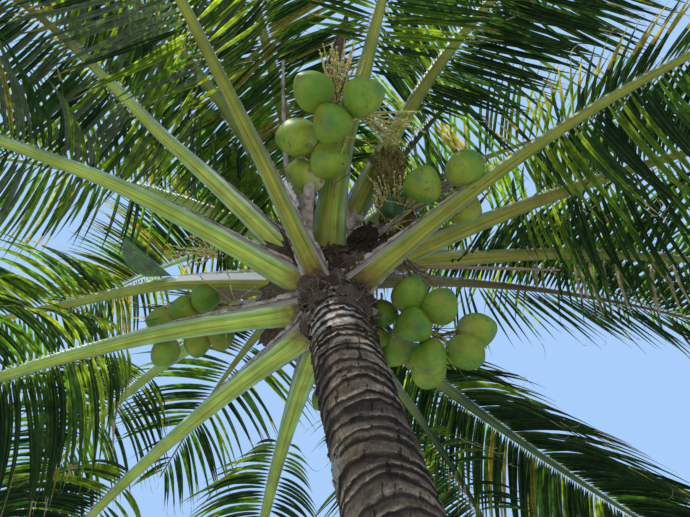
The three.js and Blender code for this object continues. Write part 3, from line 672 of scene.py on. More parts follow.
def bark_material():
    """Ring scars: a pale rim in crescents, a dark furrow partly painted shade, cracks, grey weathering,
    lichen, painted sunlight.
    """
    shader = Shader("palm_bark", 0.95, 0.25)
    across, along = shader.surface()
    wobble = shader.swing(shader.noise(11, 4), 0.42)
    step = shader.math("FRACT", shader.math("ADD", along, wobble))
    base = shader.mix(shader.ramp(step, WORN_COLOURS), shader.ramp(step, RING_COLOURS), shader.patches(
        6.5, 4, [(0.42, 0.0), (0.56, 1.0)], stretch=(1, 1, 2.4), roughness=0.65))
    field = shader.times(
        shader.patches(4.2, 4, [(0.48, 0.0), (0.60, 0.55)], stretch=(1, 1, 2.2), roughness=0.6),
        shader.ramp(step, [(0.10, 0.0), (0.2, 1.0), (0.75, 1.0), (0.92, 0.0)]))
    base = shader.mix(base, (0.30, 0.230, 0.155), field)
    grain = shader.patches(52, 6, [(0.32, 0.28), (0.66, 1.75)], stretch=(1, 1, 0.40), roughness=0.8)
    base = shader.tinted(base, grain)
    base = shader.mix(base, (0.160, 0.130, 0.095), shader.patches(3.2, 4, [(0.45, 0.0), (0.70, 0.35)]))
    cracks = shader.patches(
        26, 3, [(0.34, 0.0), (0.40, 1.0)], stretch=(1.8, 1.8, 0.20), roughness=0.6)
    base = shader.mix((0.014, 0.011, 0.008), base, cracks)
    base = shader.mix(base, (0.085, 0.045, 0.026), shader.patches(2.6, 3, [(0.56, 0.0), (0.7, 0.45)]))
    base = shader.mix(base, (0.40, 0.39, 0.35), shader.patches(
        11, 5, [(0.67, 0.0), (0.73, 0.75)], roughness=0.8))
    place = shader.node("ShaderNodeSeparateXYZ")
    shader.links.new(shader.coords, place.inputs[0])
    high = shader.times(place.outputs[2], 1 / 6)
    # Pale patches on the sunward side near the top of the trunk: painted sunlight falling through the
    # crown.
    painted_sunlight = shader.times(
        shader.ramp(across, [(0.53, 0.0), (0.59, 1.0), (0.72, 1.0), (0.78, 0.0)]),
        shader.ramp(high, [(0.70, 0.0), (0.735, 1.0), (0.822, 1.0), (0.834, 0.0)]),
        shader.patches(15, 5, [(0.50, 0.0), (0.56, 0.95)], stretch=(1, 1, 1.7), roughness=0.7),
        shader.ramp(step, [(0.04, 0.0), (0.10, 1.0), (0.62, 1.0), (0.80, 0.0)]))
    base = shader.mix(base, (0.66, 0.58, 0.52), painted_sunlight)
    crust = shader.times(
        shader.ramp(shader.distance(LICHEN_PLACE), [(0.06, 1.0), (0.10, 0.0)]),
        shader.patches(34, 5, [(0.44, 0.0), (0.5, 0.95)], roughness=0.75))
    base = shader.mix(base, (0.55, 0.54, 0.49), crust)
    # Near-white ring edges about one place on that side: painted sunlight.
    painted_sun_rims = shader.times(
        shader.ramp(shader.distance(SUNLIT_PLACE), [(0.09, 1.0), (0.17, 0.0)]),
        shader.patches(17, 5, [(0.46, 0.0), (0.54, 0.95)], stretch=(1, 1, 2.0), roughness=0.7),
        shader.ramp(step, [(0.04, 0.0), (0.10, 1.0), (0.55, 1.0), (0.75, 0.0)]))
    base = shader.mix(base, (0.90, 0.80, 0.72), painted_sun_rims)
    shader.bump(shader.math("ADD", grain, cracks), 0.010)
    return shader.colour(base)


def nut_material():
    """Yellow-green husk, browner on one side, darker at the blossom end, scuffed, its top pale partly as
    painted sunlight.
    """
    shader = Shader("nut_husk", 0.45, 0.22)
    along = shader.surface()[1]
    tone = shader.patches(3.3, 2, [
        (0.34, (0.090, 0.210, 0.018)), (0.5, (0.145, 0.260, 0.024)), (0.66, (0.245, 0.305, 0.034))])
    tone = shader.mix(tone, (0.240, 0.200, 0.028), shader.patches(5.0, 3, [(0.53, 0.0), (0.68, 0.70)]))
    tip = shader.ramp(along, [(0.80, 0.0), (0.93, 0.50), (1.0, 0.80)])
    tone = shader.mix(tone, (0.060, 0.160, 0.045), tip)
    # A pale cream stem end: partly the husk's own paler colour there, partly painted sunlight on the
    # nut's top.
    neck_and_painted_sun = shader.ramp(along, [(0.0, 1.0), (0.18, 0.75), (0.30, 0.35), (0.44, 0.0)])
    tone = shader.mix(tone, (0.50, 0.52, 0.24), neck_and_painted_sun)
    tone = shader.tinted(tone, shader.patches(24, 3, [(0.3, 0.86), (0.7, 1.1)]))
    scuff = shader.times(
        shader.patches(15, 7, [(0.575, 0.0), (0.61, 0.9)], roughness=0.8, distortion=1.5),
        shader.patches(4, 2, [(0.42, 0.12), (0.56, 1.0)]))
    tone = shader.mix(tone, (0.070, 0.050, 0.026), scuff)
    tone = shader.mix(tone, (0.10, 0.07, 0.03), shader.ramp(along, [(0.985, 0.0), (0.995, 0.9)]))
    scratch = shader.ramp(shader.grain(7, 3, 5, 0.85, 2.5), [(0.66, 0.0), (0.69, 0.8)])
    tone = shader.mix(tone, (0.085, 0.060, 0.030), scratch)
    shader.bump(shader.noise(46, 3), 0.0015, 0.35)
    return shader.colour(tone)


def plain_material(name, low, high, scale, roughness=0.6, depth=0.002, stretch=None):
    """Two colours in fine patches, with a little relief."""
    shader = Shader(name, roughness)
    patches = shader.noise(scale, 4, stretch, roughness=0.65)
    shader.bump(patches, depth, 0.6)
    return shader.colour(shader.ramp(patches, [(0.34, low), (0.66, high)]))


# Lit and shaded copies of the stalk: pale and silver in painted sun, others in painted shade; brown also
# browner.
rib_skins = {
    "pale": rib_material("stalk_pale", (1.22, 1.48, 1.70), (1.12, 1.36, 1.70)),
    "olive": rib_material("stalk_olive", (0.88, 0.86, 0.72), (0.76, 0.78, 0.75)),
    "far": rib_material("stalk_darkening", (1.05, 1.10, 1.2), (0.26, 0.42, 0.7)),
    "painted_lit_to_shaded": rib_material("stalk_fading", (1.15, 1.10, 0.95), (0.82, 0.74, 0.80), (0.60, 0.62, 0.60)),
    "silver": rib_material("stalk_silver", (1.75, 1.90, 2.6), (1.45, 1.60, 2.3), (0.42, 0.44, 0.62)),
    "painted_sunlight": rib_material("stalk_bleached", (1.10, 1.05, 0.8), (1.10, 1.15, 1.1), painted_sunlight=True),
    "broad": rib_material("stalk_broad", (0.74, 0.84, 0.80), (0.80, 0.84, 0.95), paper_from=0.23),
    "brown": rib_material("stalk_brown", (0.70, 0.55, 0.80), (0.36, 0.27, 0.42)),
    "shaded": rib_material("stalk_shaded", (0.70, 0.80, 1.2), (0.11, 0.20, 0.28)),
}
# Which copy each frond's stalk has, by how it lies in sun or shade; the rest have the olive one.
STALK_LOOKS = {
    1: "pale", 2: "shaded", 3: "pale", 6: "pale", 7: "pale", 8: "far", 9: "silver", 10: "broad",
    11: "painted_lit_to_shaded", 12: "painted_sunlight", 13: "pale", 14: "brown", 15: "shaded", 17: "painted_lit_to_shaded", 21: "pale",
    22: "shaded", 25: "pale"}
papery = papery_material()
# A paler copy of the wing, for the stalk with the cream band: painted sunlight.
papery_painted_sunlit = papery_material("papery_painted_sunlit", 2.2)
old_stalk = papery_material("old_stalk", 0.80)
# A near-white flake: painted sunlight on a scrap that lies in shade.
painted_sunlit_white = plain_material("chalky_edge", (0.72, 0.68, 0.60), (0.97, 0.95, 0.90), 20, 0.8)
fibre = fibre_material()
fibre_dark = fibre_material("fibre_dark", 0.55)
# A dark copy of the fibre for the hollow between the stalks' feet: painted shade.
hollow = fibre_material("painted_shade_hollow", 0.36)
golden_net = net_material()
bark = bark_material()
husk = nut_material()
husk_young = plain_material("young_husk", (0.020, 0.060, 0.016), (0.050, 0.125, 0.030), 9, 0.45)
calyx = plain_material("calyx", (0.17, 0.13, 0.045), (0.42, 0.36, 0.13), 30, 0.7)
fruit_stalk = plain_material("fruit_stalk", (0.24, 0.29, 0.07), (0.42, 0.44, 0.14), 22, 0.55)
twig_green = plain_material("twig_green", (0.22, 0.20, 0.032), (0.78, 0.68, 0.26), 30, 0.6)
dead_stalk = plain_material("dead_stalk", (0.13, 0.075, 0.045), (0.34, 0.22, 0.15), 24, 0.8, 0.003,
                            (6, 6, 1))
twig_dry = plain_material("twig_dry", (0.055, 0.038, 0.022), (0.16, 0.12, 0.075), 40, 0.85)
fan_skin = leaf_material("leaf_fan", (0.22, 0.31, 0.17), (0.16, 0.30, 0.08))
spathe_out = plain_material("spathe_outside", (0.13, 0.085, 0.055), (0.30, 0.23, 0.17), 26, 0.8, 0.004,
                            (6, 6, 1))
spathe_in = plain_material("spathe_inside", (0.055, 0.034, 0.024), (0.13, 0.09, 0.065), 20, 0.7)
spathe_edge = plain_material("spathe_edge", (0.30, 0.25, 0.19), (0.50, 0.43, 0.35), 30, 0.85)
spear_skin = plain_material("spear_leaf", (0.30, 0.36, 0.10), (0.52, 0.53, 0.22), 12, 0.5, 0.004,
                            (5, 5, 0.4))

# Trunk


def ring_number(z, turn):
    """How many scar rings lie below a place on the trunk. Each ring tilts its own way."""
    base = scar_number(z)
    tilt = np.interp(base, np.arange(len(scar_tilt)), scar_tilt)
    lean = np.interp(base, np.arange(len(scar_tilt)), scar_lean)
    lift = tilt * np.cos(turn - lean) + 0.18 * np.sin(3 * turn + 0.7 * base)
    return base + lift * 0.55


def scar_number(z):
    return np.interp(z, scar_height, np.arange(len(scar_height)))


SCAR_PITCH_LOW = 0.088
SCAR_PITCH_HIGH = 0.070
scar_height = [-0.1]
while scar_height[-1] < TRUNK_TOP + 0.2:
    share = scar_height[-1] / TRUNK_TOP
    pitch = SCAR_PITCH_LOW + (SCAR_PITCH_HIGH - SCAR_PITCH_LOW) * share
    scar_height.append(scar_height[-1] + pitch * rng.uniform(0.72, 1.28))
scar_height = np.array(scar_height)
scar_tilt = rng.uniform(0.15, 0.6, len(scar_height))
scar_lean = np.cumsum(np.full(len(scar_height), 2.4)) % (2 * np.pi)


NOISE_CELLS = 257


def value_noise(x, y, seed, period=NOISE_CELLS):
    """Smooth noise over a plane, from -1 to 1, repeating across after period cells."""
    cells = np.random.default_rng(seed).uniform(-1, 1, (NOISE_CELLS, NOISE_CELLS))
    xi, yi = np.floor(x).astype(int), np.floor(y).astype(int)
    fx, fy = x - xi, y - yi
    fx, fy = fx * fx * (3 - 2 * fx), fy * fy * (3 - 2 * fy)
    a, b = xi % period, (xi + 1) % period
    c, d = yi % NOISE_CELLS, (yi + 1) % NOISE_CELLS
    low = cells[a, c] * (1 - fx) + cells[b, c] * fx
    high = cells[a, d] * (1 - fx) + cells[b, d] * fx
    return low * (1 - fy) + high * fy


def noise_round(turn, y, seed, cells):
    """The same round the trunk, in so many cells."""
    return value_noise(turn / (2 * np.pi) * cells, y, seed, cells)


TRUNK_SIDES = 112
TRUNK_RINGS = 620
BARK_TOP = 5.30
BUD_RINGS = 60
BUD_FROM = 5.26
# Between these heights the bark grows rougher.
ROUGHER = (3.9, 4.9)
FLUTES = 9
FLUTED_UP_TO = 0.35
# The relief of one ring scar, from its furrow up to the next.
RIM_PLACES = (0, 0.05, 0.14, 0.3, 0.6, 0.86, 1.0)
RIM_RELIEF = (-0.5, 0.6, 1.0, 0.35, -0.1, -0.75, -0.5)


def make_trunk():
    turns = np.arange(TRUNK_SIDES + 1) * 2 * np.pi / TRUNK_SIDES
    z, turn = np.meshgrid(np.linspace(0, BARK_TOP, TRUNK_RINGS), turns, indexing="ij")
    number = ring_number(z, turn)
    rim = np.interp(number % 1, RIM_PLACES, RIM_RELIEF)
    rough = (0.5 * noise_round(turn, z * 16, 1, 24) + 0.35 * noise_round(turn, z * 30, 2, 56)
             + 0.3 * noise_round(turn, z * 26, 3, 112))
    near_crown = rising(z, *ROUGHER)
    crescent = 0.55 + 0.45 * noise_round(turn, number * 0.8, 8, 5)
    relief = 0.0105 * rim * crescent * (1 + 0.35 * near_crown) + (0.0052 + 0.004 * near_crown) * rough
    fluted = 0.012 * np.cos(FLUTES * turn + 2 * noise_round(turn, z * 4, 5, 6))
    relief += fluted * (1 - rising(z, 0, FLUTED_UP_TO)) - 0.006
    points = by_stem(z, turn, stem_radius(z) + relief)
    skins = Skins()
    skins.add(points[:, :-1], 0, np.stack([turn / (2 * np.pi), number], -1), closed=True)
    ring = points[:1, :-1]
    middle = ring.mean(1, keepdims=True)
    ends = np.vstack([middle + (ring - middle) * share for share in (0.004, 0.5, 1)])
    skins.add(ends, 0, closed=True)
    z, turn = np.meshgrid(np.linspace(BUD_FROM, TRUNK_TOP, BUD_RINGS), turns[:-1], indexing="ij")
    lumps = noise_round(turn, z * 10, 6, 12) + 0.6 * noise_round(turn, z * 22, 7, 28)
    lumps = lumps * (1 - rising(z, TRUNK_TOP - 0.3, TRUNK_TOP))
    crown = by_stem(z, turn, stem_radius(z) * 0.97 + 0.008 * lumps)
    tip = stem_axis(TRUNK_TOP)
    skins.add(np.concatenate([crown, tip + (crown[-1:] - tip) * 0.02]), 1, closed=True)
    keep(skins.made("trunk_bark", [bark, fibre]), "bark", "trunk")


# Ribs and leaf stalks

RIB_ROWS = 80
FOOT_ROWS = 16
FOOT_SHARE = 0.06
RIB_COLUMNS = 22


def rib_section(t, number):
    """The section of a rib at each t: round below, and hollow on top where it is a leaf stalk.
    Column 0 is the middle of the top, and the underside's middle is halfway round."""
    turn = np.linspace(0, 1, RIB_COLUMNS, endpoint=False)
    under = (turn > 0.2) & (turn < 0.8)
    angle = np.pi * np.where(under, (turn - 0.2) / 0.6, 0)
    across = np.where(turn <= 0.2, turn / 0.2, (turn - 1) / 0.2)
    blade = rising(t, 0.16, 0.28)
    hollow = (1 - across ** 2) * (-0.30 * (1 - blade) + 0.22 * blade)
    x = rib_width(t, number) / 2 * np.where(under, np.cos(angle), across)
    y = rib_depth(t) * (0.42 + np.where(under, -0.96 * np.sin(angle) ** 0.75, hollow))
    return x, y


WING_ROWS = 90
WING_COLUMNS = 6
WING_LENGTH = 0.235
# How far a stalk's wing stands out on some sides, as a share of the usual.
BROAD_WINGS = {(12, 1): 1.7, (3, 1): 1.2, (1, -1): 1.3, (5, -1): 1.15, (10, 1): 0.45, (10, -1): 0.45}


def papery_wing(number, line, sign):
    """A thin sheet that stands out of one edge of a leaf stalk and curls upwards, torn in places."""
    t = np.linspace(0.003, WING_LENGTH, WING_ROWS)[:, None]
    torn = 0.5 + 0.5 * value_noise(t * 150, number * 1.7 + sign * 3.3, 12)
    notch = np.clip(value_noise(t * 420, number + sign * 5.1, 14) - 0.35, 0, 1)
    reach = (0.050 * np.exp(-t / 0.055) + 0.013) * np.interp(t, [0, 0.15, WING_LENGTH], [1, 0.85, 0.15])
    reach = reach * (0.72 + 0.4 * torn) * (1 - 0.8 * notch) * BROAD_WINGS.get((number + 1, sign), 1.0)
    curl = np.radians(-6 + 85 * np.clip(np.linspace(-0.12, 1, WING_COLUMNS), 0, 1) ** 1.3)
    wave = 0.25 * value_noise(t * 45, number * 2.0 + sign, 13)
    aside = 0.485 * rib_width(t, number) + reach * (np.cumsum(np.cos(curl)) / WING_COLUMNS - 0.12)
    above = 0.34 * rib_depth(t) + reach * np.cumsum(np.sin(curl)) / WING_COLUMNS * (1 + wave)
    return line.beside(t, sign * aside, above)


def make_rib(number, line):
    t = np.concatenate([
        np.linspace(0, FOOT_SHARE, FOOT_ROWS, endpoint=False), np.linspace(FOOT_SHARE, 1, RIB_ROWS)])
    x, y = rib_section(t[:, None], number)
    wear = 1 + 0.02 * value_noise(t[:, None] * 60 + number * 9, np.arange(RIB_COLUMNS) * 0.6, 11)
    points = line.beside(t[:, None], x * wear, y * wear)
    start, end = points[:1].mean(1, keepdims=True), line.at(1.0, "place")
    points = np.concatenate(
        [start + (points[:1] - start) * 0.02, points, end + (points[-1:] - end) * 0.05])
    u, v = np.meshgrid(np.linspace(0, 1, RIB_COLUMNS + 1), np.concatenate([[0], t, [1]]))
    skins = Skins()
    skins.add(points, 0, np.stack([u, v], -1), closed=True)
    for sign in (1, -1):
        skins.add(papery_wing(number, line, sign), 1)
    look = STALK_LOOKS.get(number + 1, "olive")
    # That stalk's wing is in painted sunlight too.
    wing = papery_painted_sunlit if look == "painted_sunlight" else papery
    keep(skins.made(f"rib_{number + 1:02d}", [rib_skins[look], wing]), "frond", *frond_nodes(number))


# Leaflets

LEAFLET_PITCH = 0.040
LEAFLET_LENGTH = 1.0
LEAFLET_WIDTH = 0.036
BLADE_END = 0.994
# A frond that rises more steeply has no short first leaflets, and at the steepest they sag least.
STEEP = 50
STEEPEST = 68
SAG = 1.3
LEAST_SAG = 0.4
# Degrees off the rib at the blade's start, how much less at its tip, and how far up a leaflet lifts.
SPREAD = 87
SPREAD_LOSS = 48
LIFT = 12
# Degrees that a leaflet is turned about its length at its foot, and how much less at its tip.
TWIST = 38
TWIST_LOSS = 30
# Degrees that each half is folded down, at four places along a leaflet.
FOLD_PLACES = (0, 0.15, 0.5, 1)
FOLDS = (46, 30, 20, 30)
VEIN_HALF = 0.0018
# Shares of leaflets that are still there, that are broken, and that end in a curling string.
PRESENT = 0.985
BROKEN = 0.03
CURLED = 0.18
# Stations along a leaflet, from its pale foot to its thread of a tip.
STATIONS = np.concatenate([[0, 0.022], np.linspace(0.075, 1, 11)])

# How wide a leaflet is at places along it, as a share of its widest.
WIDTH_PLACES = (0, 0.022, 0.06, 0.14, 0.28, 0.5, 0.68, 0.82, 0.93, 1)
WIDTH_SHARES = (0.40, 0.46, 0.72, 0.92, 1, 0.90, 0.66, 0.38, 0.16, 0.04)
# Shares of the five leaf greens on a blade in painted shade, on one in painted sunlight and on one with
# gold in it.
SHADED_WEIGHTS = np.array([0.62, 0.27, 0.07, 0.03, 0.01])
SUNLIT_WEIGHTS = np.array([0.08, 0.26, 0.40, 0.24, 0.02])
GOLDEN_WEIGHTS = np.array([0.10, 0.24, 0.22, 0.24, 0.20])


def leaflet_share(by_rule):
    """How long a leaflet is for its place on the blade, as a share of the longest."""
    young = 1 - 0.38 * (1 - by_rule / 0.35) ** 2
    old = 1 - 0.64 * ((by_rule - 0.35) / 0.65) ** 2
    return np.where(by_rule < 0.35, young, old)


def dealt_colours(key, count):
    """A leaf colour for each leaflet, dealt out by sprays of some leaflets; painted sunlight raises the
    sunlit kinds.
    """
    frond, sign = key
    light = SUNLIT_SHARES.get(frond, LEAST_LIGHT)[0 if sign > 0 else 1]
    lightest = GOLDEN_WEIGHTS if frond in GOLDEN else SUNLIT_WEIGHTS
    weights = SHADED_WEIGHTS * (1 - light) + lightest * light
    colours = []
    while len(colours) < count:
        spray = rng.choice(5, p=weights)
        for _ in range(rng.integers(1, 6)):
            colours.append(spray if rng.random() < 0.70 else rng.choice(5, p=weights))
    return np.array(colours[:count])


def leaflet_places(key, line):
    """Where the leaflets stand along the rib and along the blade, and how long each is."""
    begin = BLADE_STARTS.get(key, BLADE_STARTS.get(key[0], BLADE_START))
    n = int((BLADE_END - begin) * line.length / (LEAFLET_PITCH * SPACING.get(key, 1.0)))
    along = np.arange(n) / (n - 1)
    t = begin + (BLADE_END - begin) * (np.arange(n) + 0.5 + rng.uniform(-0.16, 0.16, n)) / n
    by_rule = rising(t, BLADE_START, 1)
    share = leaflet_share(by_rule)
    if line.rise < STEEP:
        share = share * np.interp(np.arange(n), [0, 9], [0.42, 1])
    share = share * rng.normal(1.0, 0.045, n)
    left = rng.random(n)
    present = left < PRESENT
    for low, high, many, long in TORN.get(key, []):
        torn = (t >= low) & (t < high)
        present &= ~(torn & (left > many))
        share = np.where(torn, share * long, share)
    return t[present], along[present], by_rule[present], share[present]


def leaflet_skins(key, t, along):
    """A material for each face: three across a leaflet, with its foot first and its tip last."""
    n = len(t)
    colour = dealt_colours(key, n)
    # Greyer dark leaflets: a painted sheen of sky.
    if key in GREYER:
        colour = np.where((colour == DEEP) & (rng.random(n) < 0.75), GREY, colour)
    # About half the first leaflets of other blades are yellow: painted sunlight.
    if key[0] not in SHADED_FEET:
        colour = np.where((along < 0.10) & (rng.random(n) < 0.55), YELLOW, colour)
    index = np.empty((n, len(STATIONS) - 1, 3), int)
    index[:] = colour[:, None, None]
    index[:, :, 1] = VEIN
    index[:, 0] = FOOT
    dry = rng.random(n)
    for limit, first in ((0.22, -1), (0.12, -2), (0.02, -4), (0.002, 1)):
        index[dry < limit, first:] = STRAW
    gold = rng.random(n) < 0.12
    index[gold, -3:-1] = GOLD
    low, high = WITHERED.get(key, (1.0, 1.0))
    index[(t > low) & (t < high) & (dry > 0.68), 1:] = STRAW
    if key in GOLDEN_TIPS:
        index[gold | (dry > 0.4), -6:] = GOLD
    return index


def make_leaflets(skins, curls, number, line, sign):
    """One side of a blade: each leaflet sets out from the rib, sags, twists and folds."""
    key = (number + 1, sign)
    t, along, by_rule, share = leaflet_places(key, line)
    n = len(t)
    youth = min(1, line.rise / STEEPEST)
    lean = FORWARD.get(key, 0) * (1 - by_rule)
    spread = np.radians(SPREAD - lean - SPREAD_LOSS * by_rule + rng.normal(0, 2.0, n) + 4 * value_noise(
        t * 26, number * 2.3 + sign, 51))
    if key in SWEPT:
        share = np.maximum(share, SWEPT_LEAST)
        share = share * np.interp(along, SWEPT_PLACES, SWEPT_LENGTHS.get(key, [1] * 6))
        spread = np.radians(np.interp(along, SWEPT_PLACES, SWEPT[key]) + rng.normal(0, 2.5, n))
    lift = np.radians(LIFT * youth + rng.normal(0, 3.0, n))
    ahead, side, up = line.at(t, "along"), line.at(t, "side"), line.at(t, "up")
    length = LEAFLET_LENGTH * share
    first = (ahead * np.cos(spread)[:, None] + side * (sign * np.sin(spread) * np.cos(lift))[:, None]
             + up * (np.sin(spread) * np.sin(lift))[:, None])
    sag = (SAG + (LEAST_SAG - SAG) * youth) * rng.normal(1.0, 0.12, n) * SWEPT_SAG.get(key, 1.0)
    bend = rng.normal(0, 0.05, n)
    broken = np.where(rng.random(n) < BROKEN, rng.uniform(0.35, 0.75, n), 9)
    centre, ways = [line.beside(t, sign * 0.44 * rib_width(t, number), 0.1 * rib_depth(t))], []
    q = STATIONS
    for i, out in enumerate(q):
        fall = 2 * sag * out ** 1.25 + np.where(out > broken, 3.0, 0)
        way = unit(first + np.array([0, 0, -1.0]) * fall[:, None] + ahead * (bend * out * 2)[:, None])
        ways.append(way)
        if i:
            stride = length * (out - q[i - 1])
            centre.append(centre[-1] + unit(ways[-1] + ways[-2]) * stride[:, None])
    centre, ways = np.stack(centre, 1), np.stack(ways, 1)
    wide = unit(ahead[:, None] - ways * (ahead[:, None] * ways).sum(-1, keepdims=True))
    flat = np.cross(ways, wide) * -sign
    twist = np.radians(rng.normal(0, 8, n))[:, None] + np.radians(TWIST - TWIST_LOSS * q) * sign
    wide = turned(wide, ways, twist)
    flat = turned(flat, ways, twist)
    fold = np.radians(rng.normal(0, 6, n)[:, None] + np.interp(q, FOLD_PLACES, FOLDS))
    widest = LEAFLET_WIDTH / 2 * (0.55 + 0.45 * share) * rng.normal(1, 0.07, n) * SLIM.get(key, 1.0)
    half = widest[:, None] * np.interp(q, WIDTH_PLACES, WIDTH_SHARES)
    rib = np.minimum(VEIN_HALF, half * 0.35)[..., None]
    reach, drop = (half * np.cos(fold))[..., None], (half * np.sin(fold))[..., None]
    grid = np.stack([centre - wide * reach - flat * drop, centre - wide * rib,
                     centre + wide * rib, centre + wide * reach - flat * drop], 2)
    if sign < 0:
        grid = grid[:, :, ::-1]
    skins.add(grid, leaflet_skins(key, t, along))
    picked = np.flatnonzero(rng.random(n) < CURLED)
    make_curls(curls, centre[picked, -1], ways[picked, -1], wide[picked, -1])


# Corners of a fan of leaflets that never came apart: two along its foot, then three along its rim.
FAN_CORNERS = [(-1.895, 0.165, 5.902), (-2.079, 0.186, 5.937), (-2.238, -0.046, 6.085),
               (-2.251, 0.074, 6.041), (-2.184, 0.156, 5.990)]
FAN_PLEATS = 13
FAN_FROND = 12


def make_fan():
    foot_a, foot_b, rim_a, rim_b, rim_c = np.array(FAN_CORNERS)
    across = np.linspace(0, 1, 4 * FAN_PLEATS + 1)
    out = np.linspace(0, 1, 16)[:, None]
    foot = foot_a + (foot_b - foot_a) * across[:, None]
    rim = along_curve((rim_a, 2 * rim_b - (rim_a + rim_c) / 2, rim_c), across)
    normal = unit(np.cross(rim_a - foot_a, foot_b - foot_a))
    fold = np.abs((across * FAN_PLEATS) % 1 - 0.5) - 0.25
    sag = 0.05 * np.sin(np.pi * out) * np.sin(np.pi * across)
    grid = foot * (1 - out[..., None]) + rim * out[..., None]
    grid = grid + normal * ((0.004 + 0.020 * out) * fold + sag)[..., None]
    skins = Skins()
    skins.add(grid, (np.arange(4 * FAN_PLEATS) % 4 == 1)[None, None])
    fan = skins.made("pleated_fan", [fan_skin, leaf_materials[GREEN]])
    keep(fan, "frond", *frond_nodes(FAN_FROND - 1))


CURL_ROWS = 11


def make_curls(curls, start, way, wide):
    """Dried leaflet tips that hang on as thin curling strings."""
    n = len(start)
    if n == 0:
        return
    length = rng.uniform(0.05, 0.20, n)
    axis = unit(np.cross(way, rng.normal(0, 1, (n, 3))))
    rate = rng.uniform(1.0, 4.6, n) / (CURL_ROWS - 1)
    points, place = [], start
    for i in range(CURL_ROWS):
        points.append(place)
        way = unit(turned(way, axis, rate * (0.5 + i / CURL_ROWS)) + np.array([0, 0, -0.05]))
        place = place + way * (length / (CURL_ROWS - 1))[:, None]
    points = np.stack(points, 1)
    half = np.linspace(0.0030, 0.0007, CURL_ROWS)[None, :, None]
    across = wide[:, None]
    curls.add(np.stack([points - across * half, points + across * half], 2), 0)


# Fruit

NUT_COLUMNS = 30
NUT_ROWS = 24


def along_curve(points, t):
    a, b, c = (np.asarray(p, float) for p in points)
    t = np.asarray(t, float)[..., None]
    return a * (1 - t) ** 2 + b * 2 * t * (1 - t) + c * t * t


def bunch_curve(turn, foot, end):
    start = by_stem(foot, math.radians(turn), stem_radius(foot) - 0.048)
    end = np.array(end)
    lift = start + (end - start) * 0.6 + np.array([0, 0, 0.12])
    return start, lift, end


def tube(path, radius, sides):
    """A round tube along a path, with one radius for each of its points."""
    path = np.asarray(path, float)
    way = unit(np.gradient(path, axis=0))
    first = np.cross([0.31, 0.22, 0.93], way[0])
    rows = []
    for place, onward, wide in zip(path, way, np.broadcast_to(radius, len(path))):
        first = unit(first - onward * (first @ onward))
        second = np.cross(onward, first)
        turn = np.arange(sides) * 2 * np.pi / sides
        rows.append(place + wide * (np.cos(turn)[:, None] * first + np.sin(turn)[:, None] * second))
    return np.array(rows)


def make_nut(skins, middle, width, root, skin=0):
    radius = width / 2
    axis = unit(middle - root)
    first = unit(np.cross([0.2, 0.3, 1.0], axis))
    second = np.cross(axis, first)

    def placed(high, out, angle):
        return (middle + axis * high[..., None] + first * (out * np.cos(angle))[..., None]
                + second * (out * np.sin(angle))[..., None])

    v = np.linspace(0, 1, NUT_ROWS)[:, None]
    turn = np.arange(NUT_COLUMNS) * 2 * np.pi / NUT_COLUMNS
    wide = np.sin(np.pi * v) ** 0.88 * (1 + 0.07 * np.cos(np.pi * v) - 0.30 * np.clip(v - 0.62, 0, 1))
    phase = rng.uniform(0, 2 * np.pi)
    keel = np.cos(1.5 * (turn - phase)) ** 2
    ridge = 1 + (0.135 * keel ** 1.8 - 0.048) * np.interp(v, [0, 0.3, 0.8, 1], [0.2, 1, 1.4, 1.0])
    ridge = ridge + 0.015 * rng.normal() * np.cos(2 * turn + phase)
    dimple = 0.05 * np.exp(-((v - 1) / 0.05) ** 2) - 0.09 * rising(v, 0.72, 1) ** 2
    tall = -np.cos(np.pi * v) * 1.12 - dimple + 0.035 * np.exp(-((v - 0.94) / 0.04) ** 2)
    skins.add(placed(tall * radius, np.maximum(wide, 0.004) * radius * ridge, turn), skin, closed=True)
    # The calyx: two rounds of broad scales that clasp the stem end.
    for layer, size in enumerate((0.40, 0.52)):
        for k in range(3):
            fan = np.linspace(-0.75, 0.75, 7)
            out = np.linspace(0.06, size, 5)[:, None]
            lobe = np.maximum(np.cos(fan / 0.75 * np.pi / 2), 0) ** 0.5
            reach = out * (0.55 + 0.45 * lobe)
            sit = -1.12 * np.sqrt(1 - reach ** 2) - 0.03 - 0.012 * layer
            angle = 2 * np.pi * k / 3 + layer * 1.05 + phase + fan
            skins.add(placed(sit * radius, reach * radius, angle)[:, ::-1], 1)
    path = np.linspace(root, middle - axis * radius * 1.10, 6)
    path[1:-1] += rng.normal(0, 0.006, (4, 3))
    skins.add(tube(path, np.linspace(0.008, 0.011, 6), 8), 2, closed=True)


def make_bunch(name, turn, foot, end, width, nuts):
    curve = bunch_curve(turn, foot, end)
    skins = Skins()
    seats = along_curve(curve, np.linspace(0, 1, 13)[5:12])
    for middle in np.array(nuts, float):
        root = seats[np.argmin(np.linalg.norm(seats - middle, axis=1))]
        make_nut(skins, middle, width, root)
    for middle, small, skin, height in YOUNG_NUTS.get(name, []):
        make_nut(skins, np.array(middle), small, np.array([*middle[:2], height]), skin)
    t = np.linspace(0, 1, 26)
    path = along_curve(curve, t)
    radius = np.interp(t, [0, 0.2, 0.6, 1], [0.030, 0.022, 0.016, 0.008])
    radius = radius * (1 + 0.10 * value_noise(t * 22, turn / 9, 21))
    west, stout = STALKS_ASIDE.get(name, (0.0, 1.0))
    middle = np.interp(t, [0, 0.12, 0.45, 0.75], [0.3, 1, 1, 0])
    path[:, 0] -= west * middle
    radius = radius * (1 + (stout - 1) * middle)
    wrapped = np.where(np.arange(len(t) - 1) < 15, 3, 2)[None, :, None]
    skins.add(tube(path, radius, 12), wrapped, closed=True)
    keep(skins.made(f"nuts_{name}", [husk, calyx, fruit_stalk, papery, husk_young]), "nut",
         f"bunch_{name}")
    return curve


